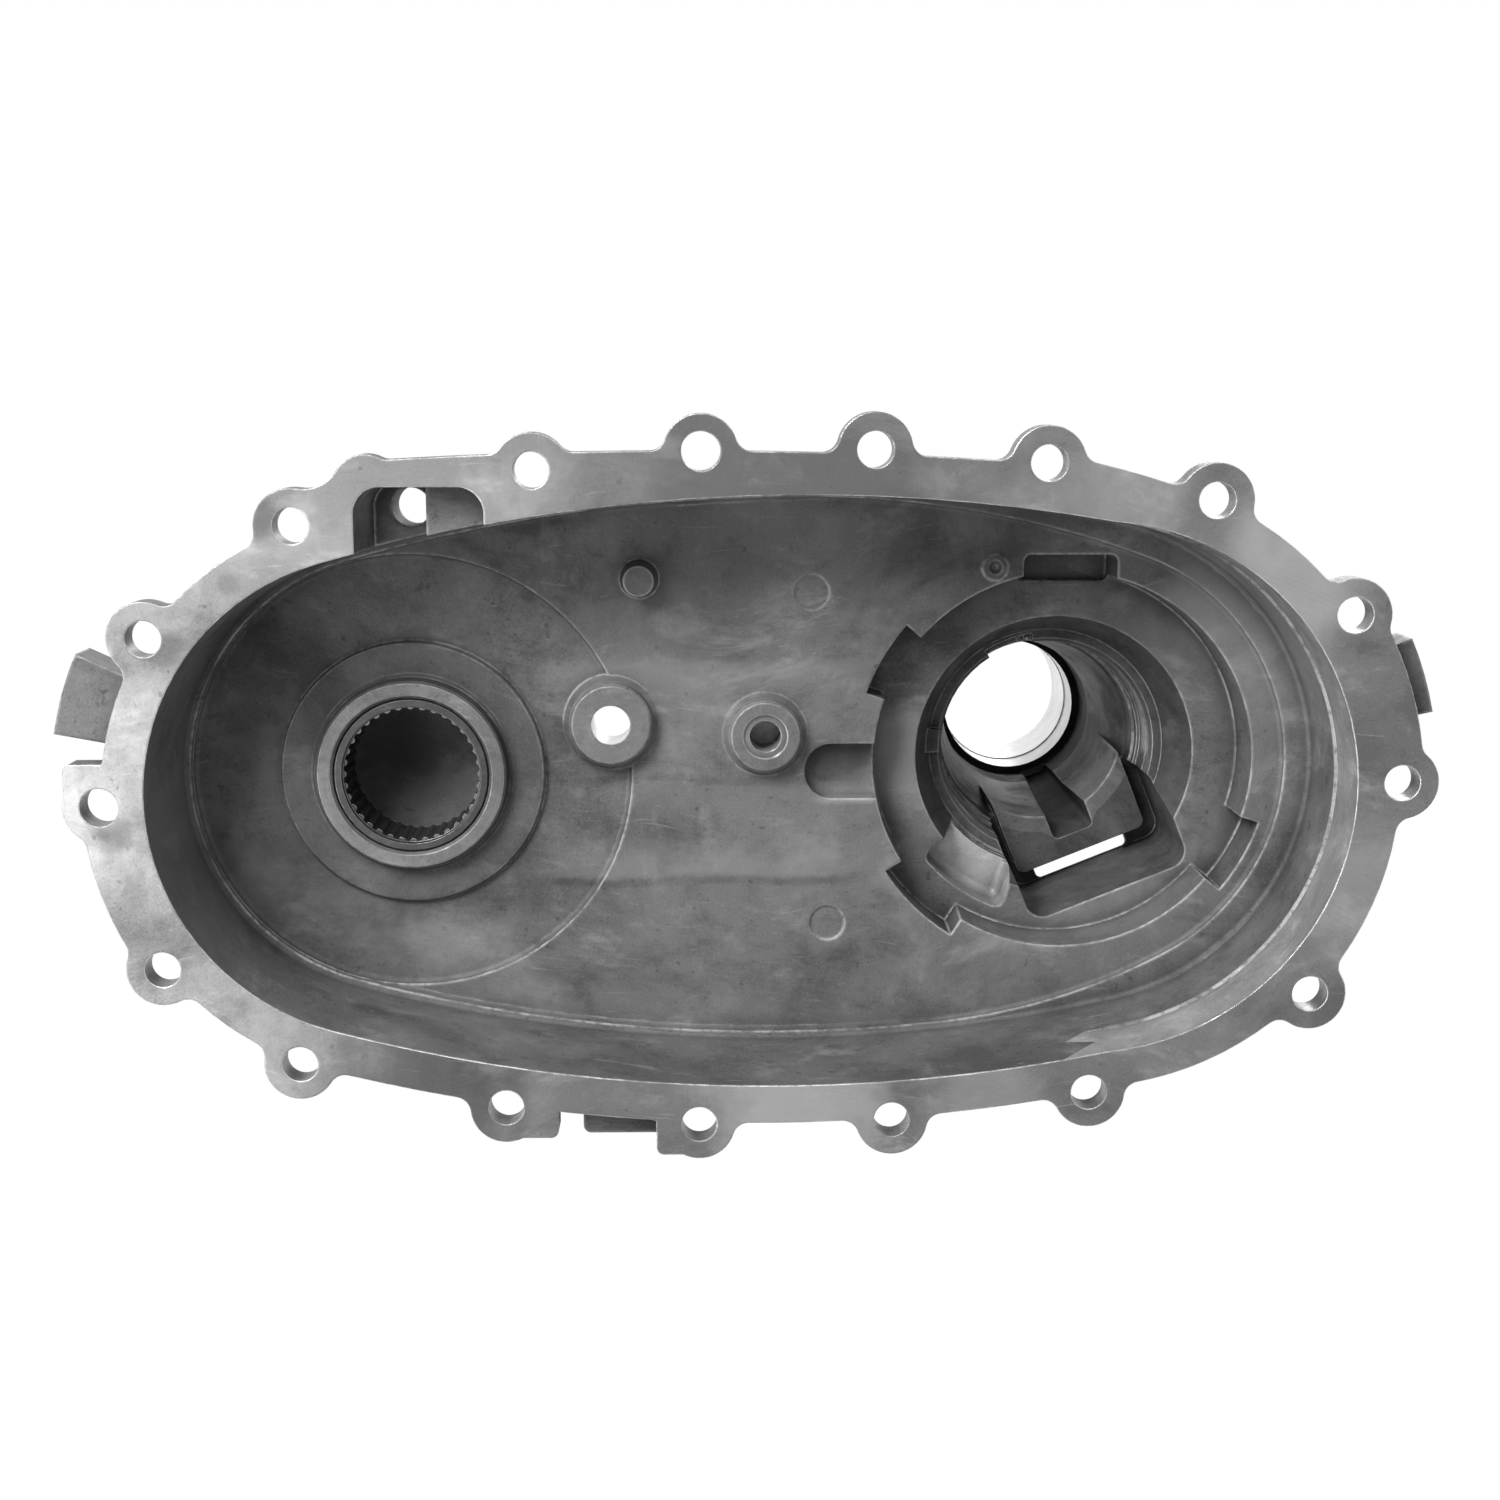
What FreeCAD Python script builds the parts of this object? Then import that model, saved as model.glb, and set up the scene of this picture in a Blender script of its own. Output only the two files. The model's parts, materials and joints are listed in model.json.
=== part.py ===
import FreeCAD
import Part
import math
import os

# Rear half of a chain-drive transfer case, die cast in aluminium in one piece, with its tail.
# Frame: the origin is on the mating face at the axis of the main shaft.
# X runs to the right and Z up, as seen from the open side. Y runs into the case, away from the
# mating face, so every depth below is a Y value. All lengths are in millimetres.

# Shaft axes
SHAFT_SPACING = 212.3
SECOND_SHAFT_DROP = 2.2

# Walls, floor and draft of the tub
CAVITY_MAIN_R = 82.1
CAVITY_SECOND_R = 74.9
CAVITY_TOP_R = 535.0
CAVITY_BOTTOM_R = 517.0
WALL = 5.5
FLOOR_DEPTH = 50.0
FLOOR_WALL = 6.0
DRAFT_DEG = 1.2
MILLED_BAND_CUT = 0.5
MILLED_BAND_DEPTH = 22.0
LEDGE_RISE = 1.8
LEDGE_FILLET = 1.4
FLOOR_INSET = 3.0
FLOOR_MAIN_R = 72.5
FLOOR_BLEND_TOP_R = 320.0
FLOOR_BLEND_LOW_R = 200.0
FLOOR_FILLET = 1.4
BACK_FILLET = 5.0
DISH_R = 71.3
DISH_STEP = 1.8
DISH_FILLET = 1.4

# Mating flange
FLANGE_THICKNESS = 9.1
FLANGE_MAIN_R = 95.8
FLANGE_MAIN_LOW_R = 93.8
FLANGE_MAIN_WIDE_R = 102.8
FLANGE_SECOND_R = 87.6
FLANGE_SECOND_WIDE_R = 93.7
FLANGE_TOP_R = 1542.0
FLANGE_TOP_SHARE = 0.5775
FLANGE_TOP_Z = 103.4
FLANGE_SHOULDER_R = 300.0
FLANGE_SHOULDER_ANGLE = 70.0
FLANGE_BOTTOM_R = 534.3
EAR_R = 11.2
EAR_FILLET = 5.0
BOLT_HOLE_R = 5.5
DOWEL_HOLE_R = 5.9
# Each bolt hole: the run of flange it stands on, its place along that run and how far out it is.
# The place is an angle round a shaft, or a share of the shaft spacing on the long runs.
HOLE_PLACES = [
    ("top", 0.7932, -5.0),
    ("top", 0.5553, -0.1),
    ("top", 0.3104, 1.4),
    ("top", 0.0664, 0.2),
    ("main", 67.63, 0.1),
    ("main", 34.28, 0.4),
    ("main", 1.55, 0.5),
    ("main", -42.1, -0.6),
    ("main", -88.44, -0.5),
    ("low", 0.2779, 0.5),
    ("low", 0.561, 0.7),
    ("low", 0.8436, 0.8),
    ("second", -110.12, 0.5),
    ("second", -143.73, 1.0),
    ("second", -178.96, 0.8),
    ("second", 145.63, 0.6),
    ("second", 108.27, 0.4),
]
DOWEL_HOLES = (1, 14)

# Corner of the flange round the breather pocket, upper left
POCKET_SIDE = 9.0
POCKET_WIDTH = 38.8
POCKET_TOP = 95.0
POCKET_HEIGHT = 32.8
POCKET_RADIUS = 8.0
POCKET_DEPTH = 41.0
POCKET_WALL = 5.0
POCKET_CORNER_IN = 3.7
POCKET_CORNER_UP = 0.2
POCKET_CORNER_R = 9.5
POCKET_SADDLE_R = 12.0
POCKET_SHELF_WIDTH = 18.7
POCKET_SHELF_DEPTH = 13.0
BREATHER_IN = 11.7
BREATHER_DOWN = 8.2
BREATHER_R = 6.1
BREATHER_BOSS_R = 10.6
BREATHER_BOSS_RISE = 2.0

# Squared lugs on the flange: hole number, then left, right, down and up from that hole
SQUARED_LUGS = [
    (10, -13.4, 2.0, -10.0, 12.0),
    (11, 0.0, 16.2, -10.0, 12.0),
    (14, -10.6, 12.0, -2.0, 13.2),
]
LUG_CORNER_R = 2.5

# Ears cast behind the flange
SIDE_EAR_START = 11.0
SIDE_EAR_DEPTH = 16.0
LEFT_EAR_R = 106.0
LEFT_EAR_ANGLES = (155.5, 169.5)
RIGHT_EAR_R = 110.5
RIGHT_EAR_ANGLES = (12.0, 24.5)
LOWER_EAR_SHARE = 0.6708
LOWER_EAR_WIDTH = 26.8
LOWER_EAR_LOW = -111.5
LOWER_EAR_HIGH = -89.5

# Bearing seat of the second shaft
CUP_R = 25.4
CUP_WALL = 1.6
CUP_LENGTH = 25.4
CUP_LIP = 1.2
CUP_SINK = 1.0
CUP_BOSS_DEPTH = 43.5
CUP_BOSS_R = 30.9
CUP_BOSS_WALL = 6.5
CUP_PAD_R = 43.2
CUP_PAD_RISE = 2.4
CUP_PAD_ROUND = 0.8
CUP_BORE_CLEAR = 5.0
CUP_BORE_STEP = 1.5
CUP_DOME = 5.0
CUP_LEAD = 0.9
CUP_ROUND = 0.8
BACK_BOSS_ROUND = 4.0
NEEDLE_R = 1.25
NEEDLE_COUNT = 36
NEEDLE_LENGTH = 20.0
NEEDLE_CLEAR = 0.04
CAGE_WALL = 0.9
CAGE_SLOT_CLEAR = 0.06
CAGE_CUP_CLEAR = 0.3

# Pump seat round the main shaft
SEAT_DEPTH = 69.0
SEAT_R = 61.5
SEAT_WALL = 5.5
SEAT_CHAMFER = 3.0
SEAT_RISE = 0.9
SEAT_DRAFT_DEG = 2.0
SEAT_NOTCH_R = 68.4
SEAT_NOTCHES = ((139.0, 160.6), (-147.6, -121.6), (-39.2, -17.6))
SEAT_TOP_NOTCH_HALF = 15.2
SEAT_TOP_NOTCH_X = 1.2
SEAT_TOP_NOTCH_Z = 68.6
SEAT_TOP_NOTCH_CORNER = 2.5
SEAT_TOP_NOTCH_LOW = 58.5
SEAT_TOP_NOTCH_STEP = 3.0
OIL_GROOVE_LEFT = -84.6
OIL_GROOVE_Z = -2.1
OIL_GROOVE_HALF = 9.1
OIL_GROOVE_ROUND = 8.9
OIL_GROOVE_DROP = 5.0
OIL_GROOVE_WALL = 4.0
OIL_GROOVE_FILLET = 4.0

# Main bore, from the pump seat to the seal at the end of the tail
THROAT_R = 47.0
THROAT_END_R = 40.3
THROAT_LENGTH = 19.0
SNAP_GROOVE_R = 38.2
SNAP_GROOVE_INSET = 4.3
SNAP_GROOVE_WIDTH = 1.9
BEARING_R = 36.0
BEARING_LENGTH = 17.0
BEARING_LEAD = 1.2
BEARING_LUG_ANGLES = (171.0, 182.5)
BEARING_LUG_RISE = 4.5
WEB_ANGLES = (103.0, 105.5)
WEB_INSET = 8.5
WEB_THICK = 3.0
SHOULDER_R = 34.8
SHOULDER_LENGTH = 4.0
OIL_CHANNEL_ANGLES = (98.0, 123.0)
OIL_CHANNEL_CUT = 3.0
RELIEF_R = 33.9
RELIEF_LENGTH = 8.0
CONE_LEAD = 1.0
CONE_START_R = 33.2
CONE_END_R = 27.4
CONE_END = 165.0
LAND_LENGTH = 16.5
LAND_R = 24.8
BUSHING_LENGTH = 30.5
BUSHING_GAP = 2.0
BUSHING_R = 25.9
BUSHING_BORE_R = 24.3
BUSHING_LEAD = 0.5
SEAL_LENGTH = 13.0
SEAL_R = 30.5
TAIL_END = 247.0
TAIL_WALL = 6.0
TUBE_WALL = 4.8
SEAL_WALL = 5.0
SEAL_COLLAR_LENGTH = 19.0
TAIL_CHAMFER = 1.5
BORE_WALL = 6.5
NECK_INSET = 4.0
NECK_LENGTH = 5.0
NECK_STEP = 1.0
CONE_BLEND_LENGTH = 14.0

# Sensor well below the main bore, with its tongue and slot
WELL_TILT_DEG = 21.8
WELL_LEFT = -27.0
WELL_RIGHT = 30.0
WELL_LOW = -51.6
WELL_TOP = -20.0
WELL_DEPTH = 118.0
WELL_RADIUS = 6.0
WELL_WALL = 5.0
TONGUE_LEFT = -23.5
TONGUE_RIGHT = 24.6
TONGUE_LOW = -44.8
TONGUE_DEPTH = 108.0
TONGUE_RADIUS = 3.0
TONGUE_INNER_R = 29.3
TONGUE_INNER_END = 150.0
CHANNEL_HALF = 7.4
CHANNEL_LOW = -37.8
CHANNEL_END_HALF = 4.5
CHANNEL_END_LOW = -29.5
CHANNEL_CORNER_R = 2.0
CHANNEL_WALL = 4.0
SLOT_HALF = 17.4
SLOT_HIGH = -45.2
SLOT_GAP = 0.6
SLOT_CORNER_R = 2.0
SLOT_FLARE = 1.8

# Shelf pocket at the lower left of the pump seat
SHELF_R = 55.7
SHELF_ANGLES = (-141.5, -107.5)
SHELF_STEP = 15.0
SHELF_WALL = 5.0
SHELF_END_DEG = 6.0
SHELF_FILLET = 3.0
GROOVE_COUNT = 3
GROOVE_PITCH = 1.7
GROOVE_WIDTH = 0.9
GROOVE_CUT = 0.7

# Small bosses, pin and marks on the floor
THROUGH_BOSS_FROM_SECOND = (64.8, 16.4)
THROUGH_BOSS_R = 13.5
THROUGH_HOLE_R = 6.3
BLIND_BOSS = (-97.5, 10.2)
BLIND_BOSS_R = 11.9
BLIND_RING_R = 7.2
BLIND_RING_CUT = 1.0
BLIND_HOLE_R = 5.1
BLIND_HOLE_DEPTH = 62.0
BLIND_HOLE_WALL = 4.0
BOSS_RISE = 6.0
BOSS_BACK_RISE = 5.0
BOSS_ROOT = 2.0
BOSS_ROUND = 1.0
PIN_FROM_SECOND = (74.2, 63.2)
PIN_ROOT_R = 6.4
PIN_TOP_R = 4.9
PIN_RISE = 10.0
EJECTOR_MARKS = [(-82.5, 56.5), (-76.9, -53.1)]
EJECTOR_R = 5.8
EJECTOR_SINK = 0.5
DIMPLE_AT = (-23.2, 64.5)
DIMPLE_R = 2.4
DIMPLE_PAD_R = 4.3
DIMPLE_PAD_RISE = 0.6
DIMPLE_SINK = 1.4
DIMPLE_POINT_R = 0.8

# Ribs on the back, those of each shaft by where they end from its axis
RIB_THICKNESS = 5.0
SPINE_RISE = 16.0
MAIN_RIB_RISE = 14.0
SECOND_RIB_RISE = 11.0
RIB_TIP_RISE = 1.0
RIB_ROOT = 5.0
TAIL_RIB_COUNT = 8
TAIL_RIB_BEND = 135.0
TAIL_RIB_END = 176.0
TAIL_RIB_FOOT_INSET = 4.0
TAIL_RIB_FOOT_RISE = 1.0
MAIN_RIBS = [(-40.0, 82.0), (-104.0, 80.0), (-40.0, -82.0), (-104.0, -82.0)]
SECOND_RIBS = [(-55.7, 40.2), (-67.7, 0.0), (-55.7, -39.8), (44.3, 76.2), (44.3, -73.8)]

AXIS = FreeCAD.Vector(0, 1, 0)
MAIN = (0.0, 0.0)
SECOND = (-SHAFT_SPACING, -SECOND_SHAFT_DROP)
SEAT = (0.0, SEAT_RISE)
THROUGH_BOSS = (SECOND[0] + THROUGH_BOSS_FROM_SECOND[0], SECOND[1] + THROUGH_BOSS_FROM_SECOND[1])
PIN_AT = (SECOND[0] + PIN_FROM_SECOND[0], SECOND[1] + PIN_FROM_SECOND[1])
OVERRUN = 1.0
OVERLAP = 2.0
DRAFT = math.tan(math.radians(DRAFT_DEG))
SEAT_DRAFT = math.tan(math.radians(SEAT_DRAFT_DEG))
FLOOR_BACK = FLOOR_DEPTH + FLOOR_WALL
LEDGE_DEPTH = FLOOR_DEPTH - LEDGE_RISE
DISH_DEPTH = FLOOR_DEPTH + DISH_STEP
CUP_START = CUP_BOSS_DEPTH + CUP_SINK
CUP_END = CUP_START + CUP_LENGTH
THROAT_END = SEAT_DEPTH + THROAT_LENGTH
SNAP_GROOVE_DEPTH = THROAT_END + SNAP_GROOVE_INSET
BEARING_END = THROAT_END + BEARING_LENGTH
SHOULDER_END = BEARING_END + SHOULDER_LENGTH
NECK_START = THROAT_END + NECK_INSET
NECK_END = NECK_START + NECK_LENGTH
CONE_BLEND_END = BEARING_END + CONE_BLEND_LENGTH
WEB_START = THROAT_END + WEB_INSET
WEB_END = WEB_START + WEB_THICK
SEAT_TOP_NOTCH_DEPTH = SEAT_DEPTH + SEAT_TOP_NOTCH_STEP
SHELF_DEPTH = SEAT_DEPTH + SHELF_STEP
SEAT_BACK = SEAT_DEPTH + SEAT_WALL
SEAT_HOUSE_R = SEAT_NOTCH_R + SEAT_WALL
RELIEF_END = SHOULDER_END + RELIEF_LENGTH
CONE_START = RELIEF_END + CONE_LEAD
SEAL_START = TAIL_END - SEAL_LENGTH
BUSHING_END = SEAL_START - BUSHING_GAP
BUSHING_START = BUSHING_END - BUSHING_LENGTH
LAND_START = BUSHING_START - LAND_LENGTH
TUBE_R = CONE_END_R + TUBE_WALL
POCKET_LEFT_X = SECOND[0] - POCKET_SIDE
POCKET_RIGHT_X = POCKET_LEFT_X + POCKET_WIDTH
POCKET_TOP_Z = SECOND[1] + POCKET_TOP
POCKET_LOW_Z = POCKET_TOP_Z - POCKET_HEIGHT
POCKET_CORNER = (POCKET_LEFT_X + POCKET_CORNER_IN, POCKET_TOP_Z + POCKET_CORNER_UP)
BREATHER = (POCKET_LEFT_X + BREATHER_IN, POCKET_TOP_Z - BREATHER_DOWN)


def at(x, depth, z):
    """A point by its X, its depth below the mating face and its Z."""
    return FreeCAD.Vector(x, depth, z)


def polar(centre, radius, degrees):
    """The (x, z) of a point at an angle on a circle."""
    a = math.radians(degrees)
    return (centre[0] + radius * math.cos(a), centre[1] + radius * math.sin(a))


def angle_of(centre, point):
    """The angle in degrees of a point seen from a centre."""
    return math.degrees(math.atan2(point[1] - centre[1], point[0] - centre[0]))


def arc(centre, radius, start, end, depth, clockwise=True):
    """An arc edge between two (x, z) points of a circle, the given way round."""
    a0 = angle_of(centre, start)
    a1 = angle_of(centre, end)
    sweep = (a0 - a1) % 360.0 if clockwise else (a1 - a0) % 360.0
    middle = a0 - sweep / 2 if clockwise else a0 + sweep / 2
    m = polar(centre, radius, middle)
    points = [at(p[0], depth, p[1]) for p in (start, m, end)]
    return Part.Arc(*points).toShape()


def line(start, end, depth):
    """A straight edge between two (x, z) points."""
    return Part.LineSegment(at(start[0], depth, start[1]), at(end[0], depth, end[1])).toShape()


def cylinder(centre, radius, start, end):
    """A cylinder along Y between two depths."""
    return Part.makeCylinder(radius, end - start, at(centre[0], start, centre[1]), AXIS)


def frustum(centre, start_r, end_r, start, end):
    """A frustum along Y between two depths."""
    return Part.makeCone(start_r, end_r, end - start, at(centre[0], start, centre[1]), AXIS)


def prism(wire, length):
    """A closed flat wire pushed along Y."""
    return Part.Face(wire).extrude(AXIS * length)


def turned(centre, profile):
    """A solid turned about a shaft axis from (radius, depth) points."""
    points = [at(centre[0] + r, y, centre[1]) for r, y in profile]
    face = Part.Face(Part.makePolygon(points + points[:1]))
    return face.revolve(at(centre[0], 0, centre[1]), AXIS, 360)


def rounded_wire(points, radius, depth):
    """A closed outline of straight sides with each corner rounded."""
    count = len(points)
    starts = []
    ends = []
    middles = []
    for i in range(count):
        p = FreeCAD.Vector(points[i][0], 0, points[i][1])
        before = FreeCAD.Vector(points[i - 1][0], 0, points[i - 1][1]) - p
        after = FreeCAD.Vector(points[(i + 1) % count][0], 0, points[(i + 1) % count][1]) - p
        before.normalize()
        after.normalize()
        half = before.getAngle(after) / 2
        bisector = (before + after).normalize()
        set_back = radius / math.tan(half)
        centre = p + bisector * (radius / math.sin(half))
        starts.append(p + before * set_back)
        ends.append(p + after * set_back)
        middles.append(centre - bisector * radius)
    shift = at(0, depth, 0)
    edges = []
    for i in range(count):
        edges.append(Part.Arc(starts[i] + shift, middles[i] + shift, ends[i] + shift).toShape())
        following = starts[(i + 1) % count]
        edges.append(Part.LineSegment(ends[i] + shift, following + shift).toShape())
    return Part.Wire(edges)


def rounded_block(points, radius, start, end):
    """A straight block with rounded corners between two depths."""
    return prism(rounded_wire(points, radius, start), end - start)


def tilted(point):
    """A point of the sensor well's own tilted axes, in the frame's x and z."""
    a = math.radians(WELL_TILT_DEG)
    u, w = point
    return (u * math.cos(a) - w * math.sin(a), u * math.sin(a) + w * math.cos(a))


def well_box(left, right, low, high, radius, start, end):
    """A block with rounded corners in the sensor well's tilted axes."""
    corners = [(left, low), (right, low), (right, high), (left, high)]
    return rounded_block([tilted(c) for c in corners], radius, start, end)


def sector(inner, outer, angles, start, end, centre=MAIN):
    """A piece of a ring between two radii, two angles and two depths."""
    first, last = angles
    a = polar(centre, inner, first)
    b = polar(centre, outer, first)
    c = polar(centre, outer, last)
    d = polar(centre, inner, last)
    edges = [
        line(a, b, start),
        arc(centre, outer, b, c, start, clockwise=False),
        line(c, d, start),
        arc(centre, inner, d, a, start),
    ]
    return prism(Part.Wire(edges), end - start)


def circle_meeting(c1, r1, c2, r2, side):
    """One of the two points where two circles cross, to the left or right of c1 to c2."""
    dx = c2[0] - c1[0]
    dz = c2[1] - c1[1]
    d = math.hypot(dx, dz)
    along = (d * d + r1 * r1 - r2 * r2) / (2 * d)
    off = side * math.sqrt(r1 * r1 - along * along)
    x = c1[0] + (along * dx - off * dz) / d
    z = c1[1] + (along * dz + off * dx) / d
    return (x, z)


def towards(centre, target, radius):
    """The point at a radius from a centre in the direction of a target."""
    d = math.hypot(target[0] - centre[0], target[1] - centre[1])
    return (
        centre[0] + radius * (target[0] - centre[0]) / d,
        centre[1] + radius * (target[1] - centre[1]) / d,
    )


def long_arc_centre(main_r, second_r, radius, above):
    """The centre of a long arc that touches both end circles from outside."""
    side = -1.0 if above else 1.0
    return circle_meeting(SECOND, radius - second_r, MAIN, radius - main_r, side)


def cavity_centres():
    """The centres of the tub's two long arcs, above and below."""
    top = long_arc_centre(CAVITY_MAIN_R, CAVITY_SECOND_R, CAVITY_TOP_R, True)
    low = long_arc_centre(CAVITY_MAIN_R, CAVITY_SECOND_R, CAVITY_BOTTOM_R, False)
    return (top, low)


def egg_wire(inset, depth):
    """The tub's outline: two end circles joined by two long tangent arcs, inset by a distance."""
    top, low = cavity_centres()
    main_r = CAVITY_MAIN_R - inset
    second_r = CAVITY_SECOND_R - inset
    top_r = CAVITY_TOP_R - inset
    low_r = CAVITY_BOTTOM_R - inset
    top_left = towards(top, SECOND, top_r)
    top_right = towards(top, MAIN, top_r)
    low_right = towards(low, MAIN, low_r)
    low_left = towards(low, SECOND, low_r)
    edges = [
        arc(top, top_r, top_left, top_right, depth),
        arc(MAIN, main_r, top_right, low_right, depth),
        arc(low, low_r, low_right, low_left, depth),
        arc(SECOND, second_r, low_left, top_left, depth),
    ]
    return Part.Wire(edges)


def floor_wire(depth):
    """The sunken floor's outline: the tub's, set in, and drawn in further round the main shaft."""
    top, low = cavity_centres()
    top_r = CAVITY_TOP_R - FLOOR_INSET
    low_r = CAVITY_BOTTOM_R - FLOOR_INSET
    second_r = CAVITY_SECOND_R - FLOOR_INSET
    top_blend_r = FLOOR_BLEND_TOP_R
    low_blend_r = FLOOR_BLEND_LOW_R
    upper = circle_meeting(MAIN, top_blend_r - FLOOR_MAIN_R, top, top_r - top_blend_r, -1.0)
    lower = circle_meeting(MAIN, low_blend_r - FLOOR_MAIN_R, low, low_r - low_blend_r, 1.0)
    points = [
        towards(top, SECOND, top_r),
        towards(top, upper, top_r),
        towards(upper, MAIN, top_blend_r),
        towards(lower, MAIN, low_blend_r),
        towards(low, lower, low_r),
        towards(low, SECOND, low_r),
    ]
    runs = [
        (top, top_r),
        (upper, top_blend_r),
        (MAIN, FLOOR_MAIN_R),
        (lower, low_blend_r),
        (low, low_r),
        (SECOND, second_r),
    ]
    edges = []
    for i, (centre, radius) in enumerate(runs):
        edges.append(arc(centre, radius, points[i], points[(i + 1) % len(points)], depth))
    return Part.Wire(edges)


def drafted_tub(inset, start, end):
    """The tub's outline with draft, from one depth to another."""
    wires = [egg_wire(inset + start * DRAFT, start), egg_wire(inset + end * DRAFT, end)]
    return Part.makeLoft(wires, True, True)


def edges_at(shape, depth):
    """The edges of a shape that lie wholly at one depth."""
    found = []
    for edge in shape.Edges:
        box = edge.BoundBox
        if abs(box.YMin - depth) < 0.01 and abs(box.YMax - depth) < 0.01:
            found.append(edge)
    return found


def flange_long_runs():
    """The centre and radius of the flange's long arcs, above and below."""
    top = (-FLANGE_TOP_SHARE * SHAFT_SPACING, FLANGE_TOP_Z - FLANGE_TOP_R)
    low = long_arc_centre(FLANGE_MAIN_LOW_R, FLANGE_SECOND_R, FLANGE_BOTTOM_R, False)
    return {"top": (top, FLANGE_TOP_R), "low": (low, FLANGE_BOTTOM_R)}


def hole_place(run, along, out):
    """The (x, z) of a bolt hole, from the run of flange it stands on."""
    if run == "main":
        return polar(MAIN, FLANGE_MAIN_R + out, along)
    if run == "second":
        return polar(SECOND, FLANGE_SECOND_R + out, along)
    centre, radius = flange_long_runs()[run]
    x = -SHAFT_SPACING * along
    rise = math.sqrt((radius + out) ** 2 - (x - centre[0]) ** 2)
    return (x, centre[1] + rise) if run == "top" else (x, centre[1] - rise)


def bolt_holes():
    """The (x, z) of every hole of the flange, clockwise from the upper left."""
    return [hole_place(run, along, out) for run, along, out in HOLE_PLACES]


def flange_spans():
    """The circle that each stretch of flange between two ears follows, clockwise."""
    main = (MAIN, FLANGE_MAIN_R)
    main_low = (MAIN, FLANGE_MAIN_LOW_R)
    main_wide = (MAIN, FLANGE_MAIN_WIDE_R)
    second = (SECOND, FLANGE_SECOND_R)
    second_wide = (SECOND, FLANGE_SECOND_WIDE_R)
    top = flange_long_runs()["top"]
    low = flange_long_runs()["low"]
    back = polar(MAIN, FLANGE_SHOULDER_R - FLANGE_MAIN_R, FLANGE_SHOULDER_ANGLE + 180.0)
    shoulder = (back, FLANGE_SHOULDER_R)
    return [
        top, top, top, shoulder, main, main_wide, main, main_low,
        low, low, low, low, second, second_wide, second, second,
    ]


def flange_wire(depth):
    """The flange's outline: an ear round each hole, with fillets down to the stretches between."""
    spans = flange_spans()
    ears = [(hole, EAR_R) for hole in bolt_holes()]
    ears.append((POCKET_CORNER, POCKET_CORNER_R))
    spans.append(None)
    spans.append(spans[0])
    count = len(ears)
    leave = []
    arrive = []
    for i in range(count):
        centre, radius = ears[i]
        following, following_r = ears[(i + 1) % count]
        if spans[i] is None:
            fillet = circle_meeting(
                centre, radius + POCKET_SADDLE_R, following, following_r + POCKET_SADDLE_R, 1.0
            )
            leave.append((towards(centre, fillet, radius), fillet, None, POCKET_SADDLE_R))
            arrive.append((towards(following, fillet, following_r), fillet, None, POCKET_SADDLE_R))
            continue
        hub, hub_r = spans[i]
        out = circle_meeting(centre, radius + EAR_FILLET, hub, hub_r + EAR_FILLET, 1.0)
        back = circle_meeting(following, following_r + EAR_FILLET, hub, hub_r + EAR_FILLET, -1.0)
        leave.append((towards(centre, out, radius), out, towards(hub, out, hub_r), EAR_FILLET))
        arrive.append(
            (towards(following, back, following_r), back, towards(hub, back, hub_r), EAR_FILLET)
        )
    edges = []
    for i in range(count):
        centre, radius = ears[i]
        came_to = arrive[i - 1][0]
        left_at, fillet, hub_point, fillet_r = leave[i]
        edges.append(arc(centre, radius, came_to, left_at, depth))
        next_touch, back, hub_end, back_r = arrive[i]
        if spans[i] is None:
            edges.append(arc(fillet, fillet_r, left_at, next_touch, depth, clockwise=False))
            continue
        hub, hub_r = spans[i]
        edges.append(arc(fillet, fillet_r, left_at, hub_point, depth, clockwise=False))
        edges.append(arc(hub, hub_r, hub_point, hub_end, depth))
        edges.append(arc(back, back_r, hub_end, next_touch, depth, clockwise=False))
    return Part.Wire(edges)


def flange_solids():
    """The flange plate and the squared lugs at three of its holes."""
    solids = [prism(flange_wire(0.0), FLANGE_THICKNESS)]
    holes = bolt_holes()
    for number, left, right, down, up in SQUARED_LUGS:
        x, z = holes[number]
        corners = [(x + left, z + down), (x + right, z + down), (x + right, z + up), (x + left, z + up)]
        solids.append(rounded_block(corners, LUG_CORNER_R, 0.0, FLANGE_THICKNESS))
    return solids


def side_ears():
    """The two side ears and the lower ear that are cast behind the flange."""
    end = SIDE_EAR_START + SIDE_EAR_DEPTH
    left = sector(CAVITY_SECOND_R, LEFT_EAR_R, LEFT_EAR_ANGLES, SIDE_EAR_START, end, SECOND)
    right = sector(CAVITY_MAIN_R, RIGHT_EAR_R, RIGHT_EAR_ANGLES, SIDE_EAR_START, end)
    middle_x = -LOWER_EAR_SHARE * SHAFT_SPACING
    left_x = middle_x - LOWER_EAR_WIDTH / 2
    right_x = middle_x + LOWER_EAR_WIDTH / 2
    corners = [
        (left_x, LOWER_EAR_LOW),
        (right_x, LOWER_EAR_LOW),
        (right_x, LOWER_EAR_HIGH),
        (left_x, LOWER_EAR_HIGH),
    ]
    lower = rounded_block(corners, LUG_CORNER_R, SIDE_EAR_START, end)
    return [left, right, lower]


def pocket_outline(grow):
    """The corners of the breather pocket, grown outwards by a wall."""
    return [
        (POCKET_LEFT_X - grow, POCKET_LOW_Z),
        (POCKET_RIGHT_X + grow, POCKET_LOW_Z),
        (POCKET_RIGHT_X + grow, POCKET_TOP_Z + grow),
        (POCKET_LEFT_X - grow, POCKET_TOP_Z + grow),
    ]


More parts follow.
